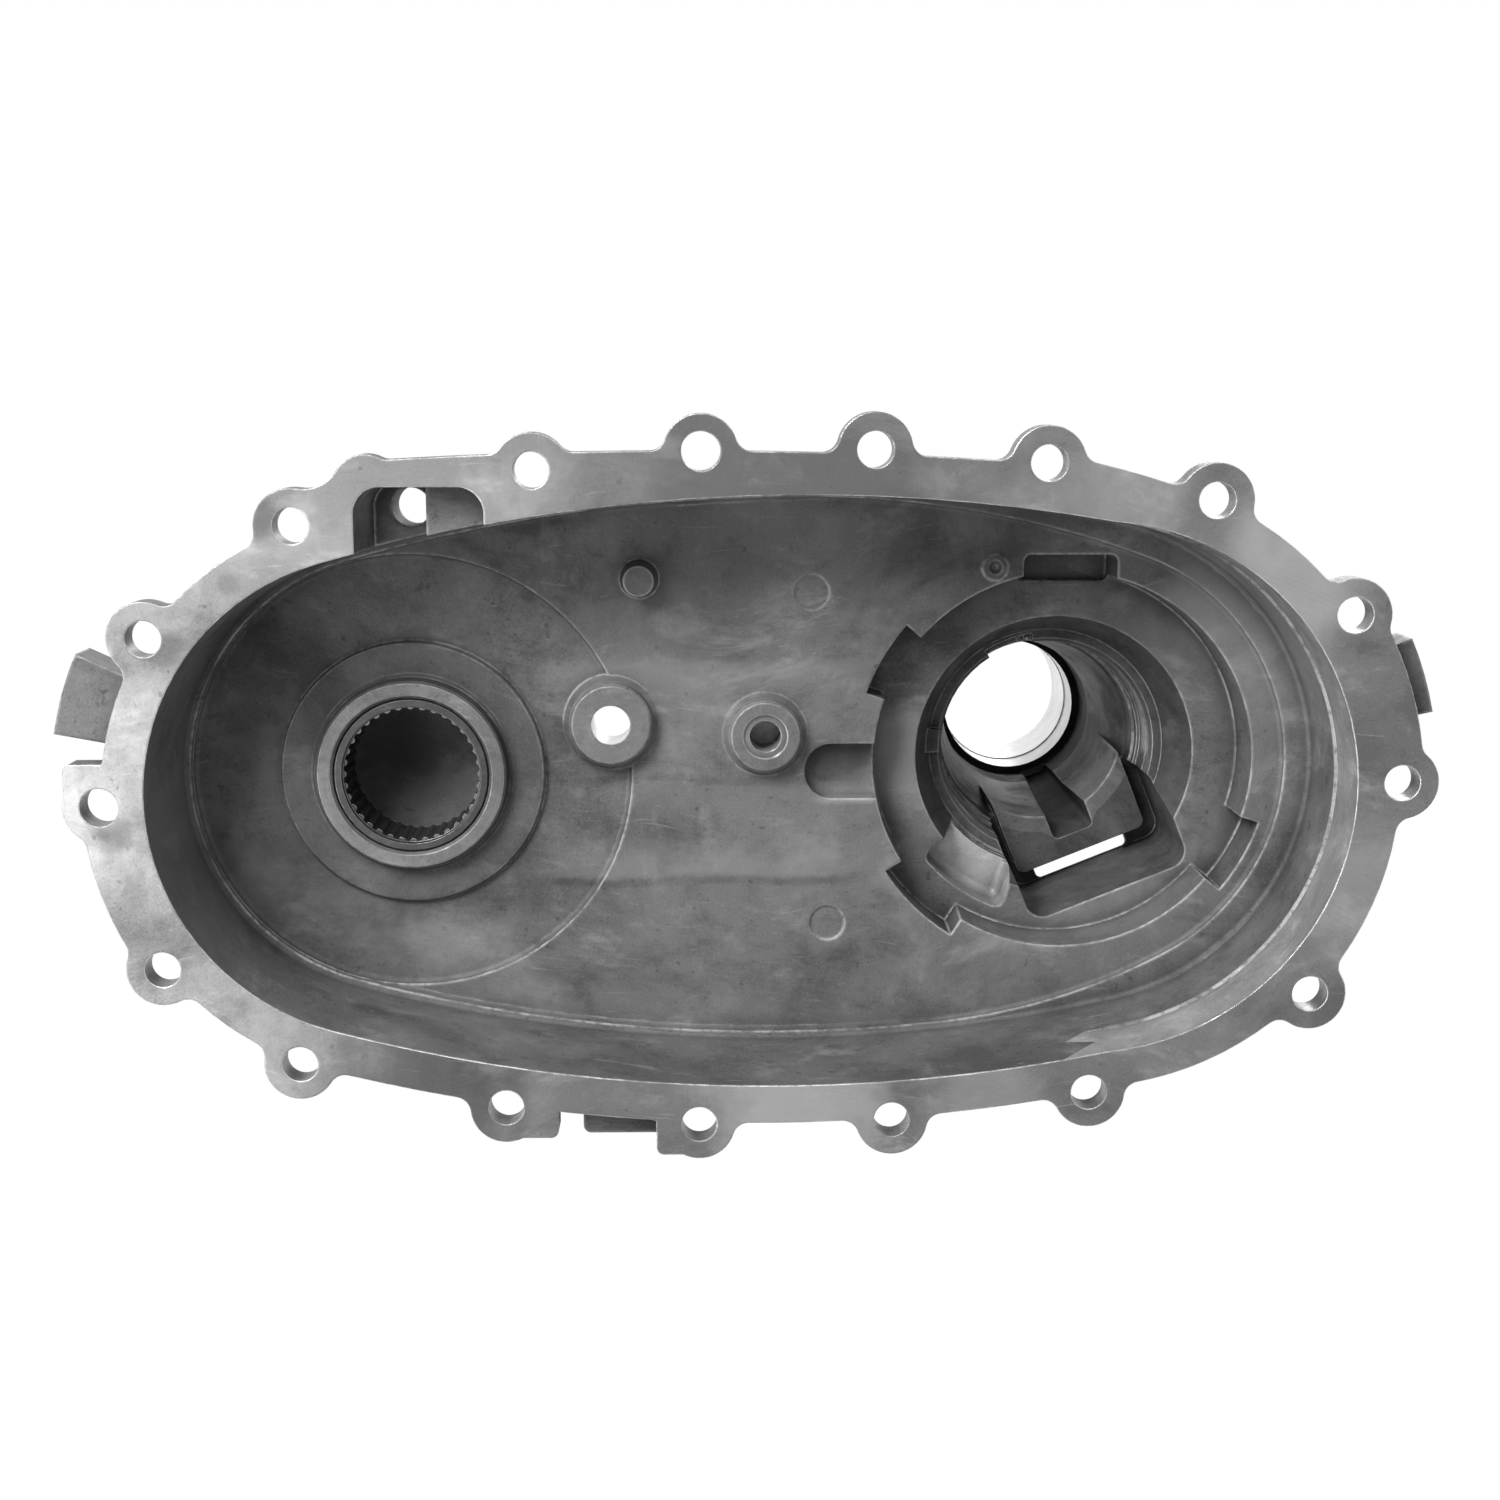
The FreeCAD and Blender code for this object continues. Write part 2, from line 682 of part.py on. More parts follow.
def pocket_house():
    """The wall round the breather pocket behind the flange, with the breather's boss."""
    end = POCKET_DEPTH + POCKET_WALL
    house = rounded_block(pocket_outline(POCKET_WALL), POCKET_RADIUS, 0.0, end)
    boss = cylinder(BREATHER, BREATHER_BOSS_R, POCKET_DEPTH, FLOOR_BACK + BREATHER_BOSS_RISE)
    return house.fuse(boss)


def pocket_cut():
    """The breather pocket itself, with its shelf left standing, and the bore behind it."""
    hollow = rounded_block(pocket_outline(0.0), POCKET_RADIUS, -OVERRUN, POCKET_DEPTH)
    shelf = Part.makeBox(
        POCKET_SHELF_WIDTH + POCKET_WALL,
        POCKET_DEPTH,
        POCKET_HEIGHT,
        at(POCKET_RIGHT_X - POCKET_SHELF_WIDTH, POCKET_SHELF_DEPTH, POCKET_LOW_Z),
    )
    end = FLOOR_BACK + BREATHER_BOSS_RISE + OVERRUN
    bore = cylinder(BREATHER, BREATHER_R, POCKET_SHELF_DEPTH, end)
    return hollow.cut(shelf).fuse(bore)


def tub_outside():
    """The outside of the tub, with the long edge of its back rounded."""
    tub = drafted_tub(-WALL, 0.0, FLOOR_BACK)
    return tub.makeFillet(BACK_FILLET, edges_at(tub, FLOOR_BACK))


def tub_inside():
    """The inside of the tub: walls, milled band, ledge, sunken floor and the round dish."""
    tub = drafted_tub(0.0, -OVERRUN, LEDGE_DEPTH)
    tub = tub.makeFillet(LEDGE_FILLET, edges_at(tub, LEDGE_DEPTH))
    start = LEDGE_DEPTH - OVERRUN
    floor = prism(floor_wire(start), FLOOR_DEPTH - start)
    floor = floor.makeFillet(FLOOR_FILLET, edges_at(floor, FLOOR_DEPTH))
    dish = cylinder(SECOND, DISH_R, FLOOR_DEPTH - OVERRUN, DISH_DEPTH)
    dish = dish.makeFillet(DISH_FILLET, edges_at(dish, DISH_DEPTH))
    band = cylinder(MAIN, CAVITY_MAIN_R + MILLED_BAND_CUT, -OVERRUN, MILLED_BAND_DEPTH)
    return tub.fuse(floor).fuse(dish).fuse(band)


def tail_outside():
    """The outside of the pump seat housing, bearing housing and tail, turned in one profile."""
    bearing_r = BEARING_R + BORE_WALL
    seal_r = SEAL_R + SEAL_WALL
    collar = TAIL_END - SEAL_COLLAR_LENGTH
    profile = [
        (0.0, FLOOR_DEPTH),
        (SEAT_HOUSE_R, FLOOR_DEPTH),
        (SEAT_HOUSE_R, SEAT_BACK - SEAT_CHAMFER),
        (SEAT_HOUSE_R - SEAT_CHAMFER, SEAT_BACK),
        (THROAT_R + BORE_WALL + OVERLAP, SEAT_BACK),
        (THROAT_END_R + BORE_WALL, NECK_START),
        (bearing_r + NECK_STEP, NECK_END),
        (bearing_r, BEARING_END),
        (CONE_START_R + TAIL_WALL, CONE_BLEND_END),
        (TUBE_R, CONE_END),
        (TUBE_R, collar - (seal_r - TUBE_R)),
        (seal_r, collar),
        (seal_r, TAIL_END - TAIL_CHAMFER),
        (seal_r - TAIL_CHAMFER, TAIL_END),
        (0.0, TAIL_END),
    ]
    return turned(MAIN, profile)


def main_bore():
    """Everything that is turned out of the main axis, from the throat to the tail's end."""
    lead = BEARING_LEAD
    profile = [
        (0.0, SEAT_DEPTH - OVERRUN),
        (THROAT_R, SEAT_DEPTH - OVERRUN),
        (THROAT_END_R, THROAT_END),
        (BEARING_R + lead, THROAT_END),
        (BEARING_R, THROAT_END + lead),
        (BEARING_R, SNAP_GROOVE_DEPTH),
        (SNAP_GROOVE_R, SNAP_GROOVE_DEPTH),
        (SNAP_GROOVE_R, SNAP_GROOVE_DEPTH + SNAP_GROOVE_WIDTH),
        (BEARING_R, SNAP_GROOVE_DEPTH + SNAP_GROOVE_WIDTH),
        (BEARING_R, BEARING_END),
        (SHOULDER_R, BEARING_END),
        (SHOULDER_R, SHOULDER_END),
        (RELIEF_R, SHOULDER_END),
        (RELIEF_R, RELIEF_END),
        (CONE_START_R, CONE_START),
        (CONE_END_R, CONE_END),
        (CONE_END_R, LAND_START),
        (LAND_R, LAND_START),
        (LAND_R, BUSHING_START),
        (BUSHING_R, BUSHING_START),
        (BUSHING_R, SEAL_START),
        (SEAL_R, SEAL_START),
        (SEAL_R, TAIL_END - lead),
        (SEAL_R + lead, TAIL_END),
        (SEAL_R + lead, TAIL_END + OVERRUN),
        (0.0, TAIL_END + OVERRUN),
    ]
    return turned(MAIN, profile)


def bearing_lugs():
    """The small lug in front of the bearing seat and the web across the oil channel."""
    lug = sector(
        BEARING_R + BEARING_LEAD,
        THROAT_END_R + OVERLAP,
        BEARING_LUG_ANGLES,
        THROAT_END - BEARING_LUG_RISE,
        THROAT_END + OVERRUN,
    )
    outer = BEARING_R + OIL_CHANNEL_CUT + OVERRUN
    web = sector(BEARING_R, outer, WEB_ANGLES, WEB_START, WEB_END)
    return [lug, web]


def seat_cuts():
    """The pump seat, its notches, the flat one above it, the oil channel and the oil groove."""
    start = FLOOR_DEPTH - OVERRUN
    inner = THROAT_R + OVERLAP
    mouth_r = SEAT_R + (SEAT_DEPTH - start) * SEAT_DRAFT
    cuts = [frustum(SEAT, mouth_r, SEAT_R, start, SEAT_DEPTH)]
    for angles in SEAT_NOTCHES:
        cuts.append(sector(inner, SEAT_NOTCH_R, angles, start, SEAT_DEPTH, SEAT))
    cuts.append(rounded_block(top_notch_corners(0.0), SEAT_TOP_NOTCH_CORNER, start, SEAT_TOP_NOTCH_DEPTH))
    channel_r = BEARING_R + OIL_CHANNEL_CUT
    cuts.append(
        sector(RELIEF_R - OVERRUN, channel_r, OIL_CHANNEL_ANGLES, THROAT_END - OVERRUN, SHOULDER_END)
    )
    bottom = FLOOR_DEPTH + OIL_GROOVE_DROP
    groove = rounded_block(oil_groove_corners(0.0), OIL_GROOVE_ROUND, start, bottom)
    cuts.append(groove.makeFillet(OIL_GROOVE_FILLET, edges_at(groove, bottom)))
    return cuts


def top_notch_corners(grow):
    """The corners of the flat notch above the pump seat, grown by a wall."""
    low = SEAT_TOP_NOTCH_LOW - grow
    high = SEAT_TOP_NOTCH_Z + grow
    left = SEAT_TOP_NOTCH_X - SEAT_TOP_NOTCH_HALF - grow
    right = SEAT_TOP_NOTCH_X + SEAT_TOP_NOTCH_HALF + grow
    return [(left, low), (right, low), (right, high), (left, high)]


def oil_groove_corners(grow):
    """The corners of the oil groove at the left of the pump seat, grown by a wall."""
    low = OIL_GROOVE_Z - OIL_GROOVE_HALF - grow
    high = OIL_GROOVE_Z + OIL_GROOVE_HALF + grow
    left = OIL_GROOVE_LEFT - grow
    return [(left, low), (-THROAT_R, low), (-THROAT_R, high), (left, high)]


def local_walls():
    """The extra wall on the back under the oil groove, the flat notch and the shelf pocket."""
    groove = rounded_block(
        oil_groove_corners(OIL_GROOVE_WALL),
        OIL_GROOVE_ROUND,
        FLOOR_DEPTH + OVERRUN,
        FLOOR_DEPTH + OIL_GROOVE_DROP + OIL_GROOVE_WALL,
    )
    notch = rounded_block(
        top_notch_corners(SEAT_WALL), SEAT_CHAMFER, SEAT_DEPTH, SEAT_TOP_NOTCH_DEPTH + SEAT_WALL
    )
    first, last = SHELF_ANGLES
    shelf = sector(
        THROAT_END_R - OVERRUN,
        SHELF_R + SHELF_WALL,
        (first - SHELF_END_DEG, last + SHELF_END_DEG),
        SEAT_DEPTH,
        SHELF_DEPTH + SHELF_WALL,
    )
    return [groove, notch, shelf]


def well_outside():
    """The housing round the sensor well on the back."""
    return well_box(
        WELL_LEFT - WELL_WALL,
        WELL_RIGHT + WELL_WALL,
        WELL_LOW - WELL_WALL,
        WELL_TOP + WELL_WALL,
        WELL_RADIUS + WELL_WALL,
        SEAT_DEPTH - OVERRUN,
        WELL_DEPTH + WELL_WALL,
    )


def channel_loft(grow, start, end):
    """The long channel that narrows along the tail, grown by a wall, between two depths."""
    wires = []
    for depth in (start, end):
        share = (depth - TONGUE_DEPTH) / (LAND_START - TONGUE_DEPTH)
        half = CHANNEL_HALF + share * (CHANNEL_END_HALF - CHANNEL_HALF) + grow
        low = CHANNEL_LOW + share * (CHANNEL_END_LOW - CHANNEL_LOW) - grow
        corners = [tilted(c) for c in ((-half, low), (half, low), (half, 0.0), (-half, 0.0))]
        wires.append(rounded_wire(corners, CHANNEL_CORNER_R, depth))
    return Part.makeLoft(wires, True, True)


def tongue_block():
    """The part of the tongue that stands inward of the tail's bore."""
    ring = turned(
        MAIN,
        [
            (TONGUE_INNER_R, TONGUE_DEPTH),
            (SHOULDER_R + OVERLAP, TONGUE_DEPTH),
            (CONE_START_R + OVERLAP, CONE_START),
            (TONGUE_INNER_R + OVERLAP, TONGUE_INNER_END),
            (TONGUE_INNER_R, TONGUE_INNER_END),
        ],
    )
    block = well_box(
        TONGUE_LEFT, TONGUE_RIGHT, TONGUE_LOW, 0.0, TONGUE_RADIUS, TONGUE_DEPTH, TONGUE_INNER_END
    )
    return ring.common(block)


def well_cuts():
    """The sensor well, left standing round its tongue, with the channel and the slot."""
    start = SEAT_DEPTH - OVERRUN
    end = WELL_DEPTH + WELL_WALL
    well = well_box(WELL_LEFT, WELL_RIGHT, WELL_LOW, WELL_TOP, WELL_RADIUS, start, WELL_DEPTH)
    tongue = well_box(
        TONGUE_LEFT, TONGUE_RIGHT, TONGUE_LOW, WELL_TOP + WELL_WALL, TONGUE_RADIUS, TONGUE_DEPTH, end
    )
    channel = channel_loft(0.0, TONGUE_DEPTH - OVERRUN, LAND_START)
    wires = []
    for depth, flare in ((WELL_DEPTH - OVERRUN, 0.0), (end + OVERRUN, SLOT_FLARE)):
        low = WELL_LOW + SLOT_GAP - flare
        corners = [(-SLOT_HALF, low), (SLOT_HALF, low), (SLOT_HALF, SLOT_HIGH), (-SLOT_HALF, SLOT_HIGH)]
        wires.append(rounded_wire([tilted(c) for c in corners], SLOT_CORNER_R, depth))
    slot = Part.makeLoft(wires, True, True)
    return [well.cut(tongue), channel, slot]


def shelf_cuts():
    """The stepped pocket at the lower left of the pump seat, with its tool grooves."""
    inner = THROAT_END_R - OVERRUN
    shelf = sector(inner, SHELF_R, SHELF_ANGLES, SEAT_DEPTH - OVERRUN, SHELF_DEPTH)
    rounded = []
    for edge in shelf.Edges:
        box = edge.BoundBox
        middle = edge.valueAt((edge.FirstParameter + edge.LastParameter) / 2)
        outside = math.hypot(middle.x, middle.z) > THROAT_END_R
        if outside and box.YMax > SHELF_DEPTH - OVERRUN:
            rounded.append(edge)
    cuts = [shelf.makeFillet(SHELF_FILLET, rounded)]
    slope = (THROAT_R - THROAT_END_R) / (THROAT_END - SEAT_DEPTH)
    for i in range(GROOVE_COUNT):
        start = THROAT_END - (GROOVE_COUNT - i) * GROOVE_PITCH
        reach = THROAT_END_R + (THROAT_END - start) * slope + GROOVE_CUT
        cuts.append(sector(inner, reach, SHELF_ANGLES, start, start + GROOVE_WIDTH))
    return cuts


def second_seat_outside():
    """The boss that carries the needle bearing, inside and on the back."""
    pad_depth = DISH_DEPTH - CUP_PAD_RISE
    back = CUP_END + CUP_BORE_CLEAR + CUP_DOME
    outer = CUP_R + CUP_BOSS_WALL
    profile = [
        (0.0, CUP_BOSS_DEPTH),
        (CUP_BOSS_R - CUP_ROUND, CUP_BOSS_DEPTH),
        (CUP_BOSS_R, CUP_BOSS_DEPTH + CUP_ROUND),
        (CUP_BOSS_R + CUP_ROUND, pad_depth - CUP_ROUND),
        (CUP_BOSS_R + OVERLAP, pad_depth),
        (CUP_PAD_R - CUP_PAD_ROUND, pad_depth),
        (CUP_PAD_R, pad_depth + CUP_PAD_ROUND),
        (CUP_PAD_R, FLOOR_BACK),
        (outer + OVERLAP, FLOOR_BACK + OVERLAP),
        (outer, back - OVERLAP),
        (outer - BACK_BOSS_ROUND, back + BACK_BOSS_ROUND),
        (outer - 2 * BACK_BOSS_ROUND, back + FLOOR_WALL),
        (0.0, back + FLOOR_WALL),
    ]
    return turned(SECOND, profile)


def second_seat_bore():
    """The blind bore of the needle bearing, with its lead and its domed end."""
    end = CUP_END + CUP_BORE_CLEAR
    inner = CUP_R - CUP_BORE_STEP
    profile = [
        (0.0, CUP_BOSS_DEPTH - OVERRUN),
        (CUP_R + CUP_LEAD + OVERRUN, CUP_BOSS_DEPTH - OVERRUN),
        (CUP_R, CUP_BOSS_DEPTH + CUP_LEAD),
        (CUP_R, CUP_END),
        (inner, CUP_END + CUP_BORE_STEP),
        (inner, end),
        (0.0, end),
    ]
    dome_r = (inner * inner + CUP_DOME * CUP_DOME) / (2 * CUP_DOME)
    ball = Part.makeSphere(dome_r, at(SECOND[0], end + CUP_DOME - dome_r, SECOND[1]))
    dome = ball.common(cylinder(SECOND, inner, end - OVERRUN, end + CUP_DOME))
    return turned(SECOND, profile).fuse(dome)


def boss_profile(radius, back):
    """The turned profile of a small boss, from its face inside the case to its back."""
    top = FLOOR_DEPTH - BOSS_RISE
    return [
        (0.0, top),
        (radius - BOSS_ROUND, top),
        (radius, top + BOSS_ROUND),
        (radius, FLOOR_DEPTH - BOSS_ROOT),
        (radius + BOSS_ROOT, FLOOR_DEPTH),
        (radius + BOSS_ROOT, FLOOR_BACK),
        (radius - BOSS_ROUND, back),
        (0.0, back),
    ]


def floor_bosses():
    """The two small bosses, the locating pin and the raised pad of the dimple."""
    solids = [
        turned(THROUGH_BOSS, boss_profile(THROUGH_BOSS_R, FLOOR_BACK + BOSS_BACK_RISE)),
        turned(BLIND_BOSS, boss_profile(BLIND_BOSS_R, BLIND_HOLE_DEPTH + BLIND_HOLE_WALL)),
    ]
    pin_top = FLOOR_DEPTH - PIN_RISE
    solids.append(frustum(PIN_AT, PIN_TOP_R, PIN_ROOT_R, pin_top, FLOOR_DEPTH + OVERRUN))
    solids.append(cylinder(DIMPLE_AT, DIMPLE_PAD_R, FLOOR_DEPTH - DIMPLE_PAD_RISE, FLOOR_BACK))
    return solids


def floor_cuts():
    """The holes of the small bosses, the dimple and the ejector marks."""
    top = FLOOR_DEPTH - BOSS_RISE
    back = FLOOR_BACK + BOSS_BACK_RISE
    cuts = [cylinder(THROUGH_BOSS, THROUGH_HOLE_R, top - OVERRUN, back + OVERRUN)]
    cuts.append(cylinder(BLIND_BOSS, BLIND_RING_R, top - OVERRUN, top + BLIND_RING_CUT))
    cuts.append(cylinder(BLIND_BOSS, BLIND_HOLE_R, top - OVERRUN, BLIND_HOLE_DEPTH))
    pad = FLOOR_DEPTH - DIMPLE_PAD_RISE
    cuts.append(frustum(DIMPLE_AT, DIMPLE_R, DIMPLE_POINT_R, pad, pad + DIMPLE_SINK))
    for place in EJECTOR_MARKS:
        cuts.append(cylinder(place, EJECTOR_R, FLOOR_DEPTH - OVERRUN, FLOOR_DEPTH + EJECTOR_SINK))
    return cuts


def bolt_hole_cuts():
    """The bolt holes and the two dowel holes through the flange."""
    cuts = []
    for i, place in enumerate(bolt_holes()):
        radius = DOWEL_HOLE_R if i in DOWEL_HOLES else BOLT_HOLE_R
        cuts.append(cylinder(place, radius, -OVERRUN, FLANGE_THICKNESS + OVERRUN))
    return cuts


def back_rib(start, end, start_rise, end_rise):
    """A rib on the back plate between two (x, z) points, with a sloping top."""
    length = math.hypot(end[0] - start[0], end[1] - start[1])
    foot = FLOOR_BACK - RIB_ROOT
    half = RIB_THICKNESS / 2
    points = [
        at(0, foot, -half),
        at(length, foot, -half),
        at(length, FLOOR_BACK + end_rise, -half),
        at(0, FLOOR_BACK + start_rise, -half),
    ]
    rib = Part.Face(Part.makePolygon(points + points[:1])).extrude(at(0, 0, RIB_THICKNESS))
    rib.rotate(at(0, 0, 0), AXIS, -angle_of(start, end))
    rib.translate(at(start[0], 0, start[1]))
    return rib


def back_ribs():
    """The ribs on the back plate, from the tail and from the second shaft's boss to the rim."""
    ribs = [back_rib(SECOND, MAIN, SECOND_RIB_RISE, SPINE_RISE)]
    for x, z in MAIN_RIBS:
        ribs.append(back_rib(MAIN, (MAIN[0] + x, MAIN[1] + z), MAIN_RIB_RISE, RIB_TIP_RISE))
    for x, z in SECOND_RIBS:
        ribs.append(back_rib(SECOND, (SECOND[0] + x, SECOND[1] + z), SECOND_RIB_RISE, RIB_TIP_RISE))
    return ribs


def tail_ribs():
    """Gusset ribs that stiffen the tail against the back of the case."""
    foot_r = SEAT_HOUSE_R - TAIL_RIB_FOOT_INSET
    foot = SEAT_BACK - OVERLAP
    half = RIB_THICKNESS / 2
    points = [
        at(CONE_START_R + OVERLAP, foot, -half),
        at(foot_r, foot, -half),
        at(foot_r - OVERLAP, SEAT_BACK + TAIL_RIB_FOOT_RISE, -half),
        at(TUBE_R + RIB_THICKNESS, TAIL_RIB_BEND, -half),
        at(TUBE_R, TAIL_RIB_END, -half),
        at(CONE_END_R + OVERLAP, TAIL_RIB_END, -half),
    ]
    ribs = []
    for i in range(TAIL_RIB_COUNT):
        rib = Part.Face(Part.makePolygon(points + points[:1])).extrude(at(0, 0, RIB_THICKNESS))
        rib.rotate(at(0, 0, 0), AXIS, 360.0 * (i + 0.5) / TAIL_RIB_COUNT)
        ribs.append(rib)
    return ribs


def case_half():
    """The casting: all that adds metal, then all that takes it away."""
    added = flange_solids() + side_ears() + local_walls() + back_ribs() + tail_ribs()
    added += [pocket_house(), tub_outside(), tail_outside(), well_outside()]
    added.append(channel_loft(CHANNEL_WALL, WELL_DEPTH, LAND_START + CHANNEL_WALL))
    body = added[0].multiFuse(added[1:])
    body = body.cut(tub_inside())
    inner = floor_bosses() + [second_seat_outside()]
    body = body.multiFuse(inner)
    body = body.cut(main_bore()).fuse(tongue_block())
    cuts = [second_seat_bore(), pocket_cut()]
    cuts += seat_cuts() + well_cuts() + shelf_cuts() + floor_cuts() + bolt_hole_cuts()
    for tool in cuts:
        body = body.cut(tool)
    body = body.multiFuse(bearing_lugs())
    return body.Solids[0]


def bearing_cup():
    """The drawn steel cup of the needle bearing, pressed into its bore."""
    inner = CUP_R - CUP_WALL
    lip_r = inner - NEEDLE_R
    profile = [
        (CUP_R, CUP_START + CUP_ROUND),
        (CUP_R - CUP_ROUND, CUP_START),
        (lip_r, CUP_START),
        (lip_r, CUP_START + CUP_LIP),
        (inner, CUP_START + CUP_LIP),
        (inner, CUP_END - CUP_LIP),
        (lip_r, CUP_END - CUP_LIP),
        (lip_r, CUP_END),
        (CUP_R - CUP_ROUND, CUP_END),
        (CUP_R, CUP_END - CUP_ROUND),
    ]
    return turned(SECOND, profile)


def needle_circle_r():
    """The radius of the circle that the needles' own axes lie on."""
    return CUP_R - CUP_WALL - NEEDLE_CLEAR - NEEDLE_R


def needle_start():
    """The depth at which the needles begin."""
    return CUP_START + (CUP_LENGTH - NEEDLE_LENGTH) / 2


def needles():
    """The ring of needle rollers."""
    start = needle_start()
    rollers = []
    for i in range(NEEDLE_COUNT):
        place = polar(SECOND, needle_circle_r(), 360.0 * i / NEEDLE_COUNT)
        rollers.append(cylinder(place, NEEDLE_R, start, start + NEEDLE_LENGTH))
    return Part.makeCompound(rollers)


def needle_cage():
    """The cage that spaces the needles, with a window for each one."""
    middle = needle_circle_r()
    outer = middle + CAGE_WALL / 2
    inner = middle - CAGE_WALL / 2
    start = CUP_START + CUP_LIP + CAGE_CUP_CLEAR
    end = CUP_END - CUP_LIP - CAGE_CUP_CLEAR
    hollow = cylinder(SECOND, inner, start - OVERRUN, end + OVERRUN)
    cage = cylinder(SECOND, outer, start, end).cut(hollow)
    first = needle_start() - CAGE_SLOT_CLEAR
    last = needle_start() + NEEDLE_LENGTH + CAGE_SLOT_CLEAR
    windows = []
    for i in range(NEEDLE_COUNT):
        place = polar(SECOND, middle, 360.0 * i / NEEDLE_COUNT)
        windows.append(cylinder(place, NEEDLE_R + CAGE_SLOT_CLEAR, first, last))
    return cage.cut(Part.makeCompound(windows))


def tail_bushing():
    """The plain bushing that carries the output yoke in the tail."""
    end = BUSHING_END
    lead = BUSHING_LEAD
    profile = [
        (BUSHING_R, BUSHING_START),
        (BUSHING_BORE_R + lead, BUSHING_START),
        (BUSHING_BORE_R, BUSHING_START + lead),
        (BUSHING_BORE_R, end - lead),
        (BUSHING_BORE_R + lead, end),
        (BUSHING_R, end),
    ]
    return turned(MAIN, profile)


def main():
    """Build each piece and write it to its own file."""
    os.makedirs("parts", exist_ok=True)
    pieces = {
        "case_half": case_half(),
        "needle_bearing_cup": bearing_cup(),
        "needle_bearing_cage": needle_cage(),
        "needle_rollers": needles(),
        "tail_bushing": tail_bushing(),
    }
    for name, shape in pieces.items():
        shape.exportStep("parts/" + name + ".step")
        print(name, shape.isValid(), len(shape.Solids), round(shape.Volume), shape.BoundBox)


main()
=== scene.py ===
"""The rear half of a chain-drive transfer case housing, seen from its open side."""

import json
import logging
import math
from dataclasses import dataclass, field
from enum import Enum
from functools import partial

import bpy
from mathutils import Matrix, Vector

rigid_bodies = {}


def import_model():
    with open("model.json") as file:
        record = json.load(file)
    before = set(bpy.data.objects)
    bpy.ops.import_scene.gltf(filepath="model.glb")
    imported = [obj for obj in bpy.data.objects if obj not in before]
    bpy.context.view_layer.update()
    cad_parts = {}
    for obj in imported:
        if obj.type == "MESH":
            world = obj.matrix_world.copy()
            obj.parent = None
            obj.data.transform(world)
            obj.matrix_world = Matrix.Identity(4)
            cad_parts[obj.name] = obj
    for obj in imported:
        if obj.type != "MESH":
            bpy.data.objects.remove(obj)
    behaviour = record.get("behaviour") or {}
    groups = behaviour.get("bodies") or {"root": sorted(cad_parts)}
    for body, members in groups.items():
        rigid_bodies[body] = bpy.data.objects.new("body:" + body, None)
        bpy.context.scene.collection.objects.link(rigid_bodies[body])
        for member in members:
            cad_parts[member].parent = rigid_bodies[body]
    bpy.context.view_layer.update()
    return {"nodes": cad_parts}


LOG = logging.getLogger("case_half")
MM = 0.001

# A size in millimetres or an angle in degrees that nothing reaches
NO_LIMIT = 1000.0

# How straight along the depth a face has to face to count as flat
STRAIGHT = 0.9

Point = tuple[float, float]
Place = tuple[float, float, float]

# The axes that the casting is turned and bored round, as X and Z in millimetres
MAIN_SHAFT = (0.0, 0.0)
SECOND_SHAFT = (-212.3, -2.2)
THROUGH_BOSS = (-147.5, 14.2)
BLIND_BOSS = (-97.5, 10.2)
FLANGE_HOLES = (
    (-168.4, 97.7), (-117.9, 103.3), (-65.9, 103.8), (-14.1, 99.8), (36.5, 88.7), (79.5, 54.2),
    (96.3, 2.6), (70.6, -63.8), (2.6, -95.3), (-59.0, -103.9), (-119.1, -105.0), (-179.1, -99.3),
    (-242.6, -84.9), (-283.7, -54.6), (-300.7, -3.8), (-285.1, 47.6), (-239.9, 81.4),
)


class Surface(Enum):
    """The kinds of surface that the casting shows, each with its own finish."""

    CAST = "cast_skin"
    # The throat's and the tail tube's skins are darker than the cast skin, as painted shade
    BORE = "bore_skin_and_painted_shade"
    TUBE = "tube_skin_and_painted_shade"
    LAND = "turned_land"
    SEALING = "sealing_face"
    DRILLED = "drilled_hole"
    TURNED = "turned_bore"
    SEAT = "bored_seat"
    MILLED = "milled_band"
    # The tapped hole is made lighter than its metal, as painted light inside the deep hole
    TAPPED = "tapped_hole_painted_light"


class Facing(Enum):
    """The ways that a face of the casting can face."""

    ANY = "any"
    OPEN_SIDE = "open_side"
    TAIL_END = "tail_end"
    INWARDS = "inwards"
    INTO_BORE = "into_bore"

    def fits(self, normal: Vector, outwards: Vector) -> bool:
        """Tells whether a face faces this way.

        Args:
            normal: The way the face faces.
            outwards: The way out from the axis to the face.

        Returns:
            Whether it does.
        """
        open_side = normal.y < -STRAIGHT
        inwards = normal.x * outwards.x + normal.z * outwards.z < 0.0
        return {
            Facing.ANY: True,
            Facing.OPEN_SIDE: open_side,
            Facing.TAIL_END: normal.y > STRAIGHT,
            Facing.INWARDS: inwards,
            Facing.INTO_BORE: inwards or open_side,
        }[self]


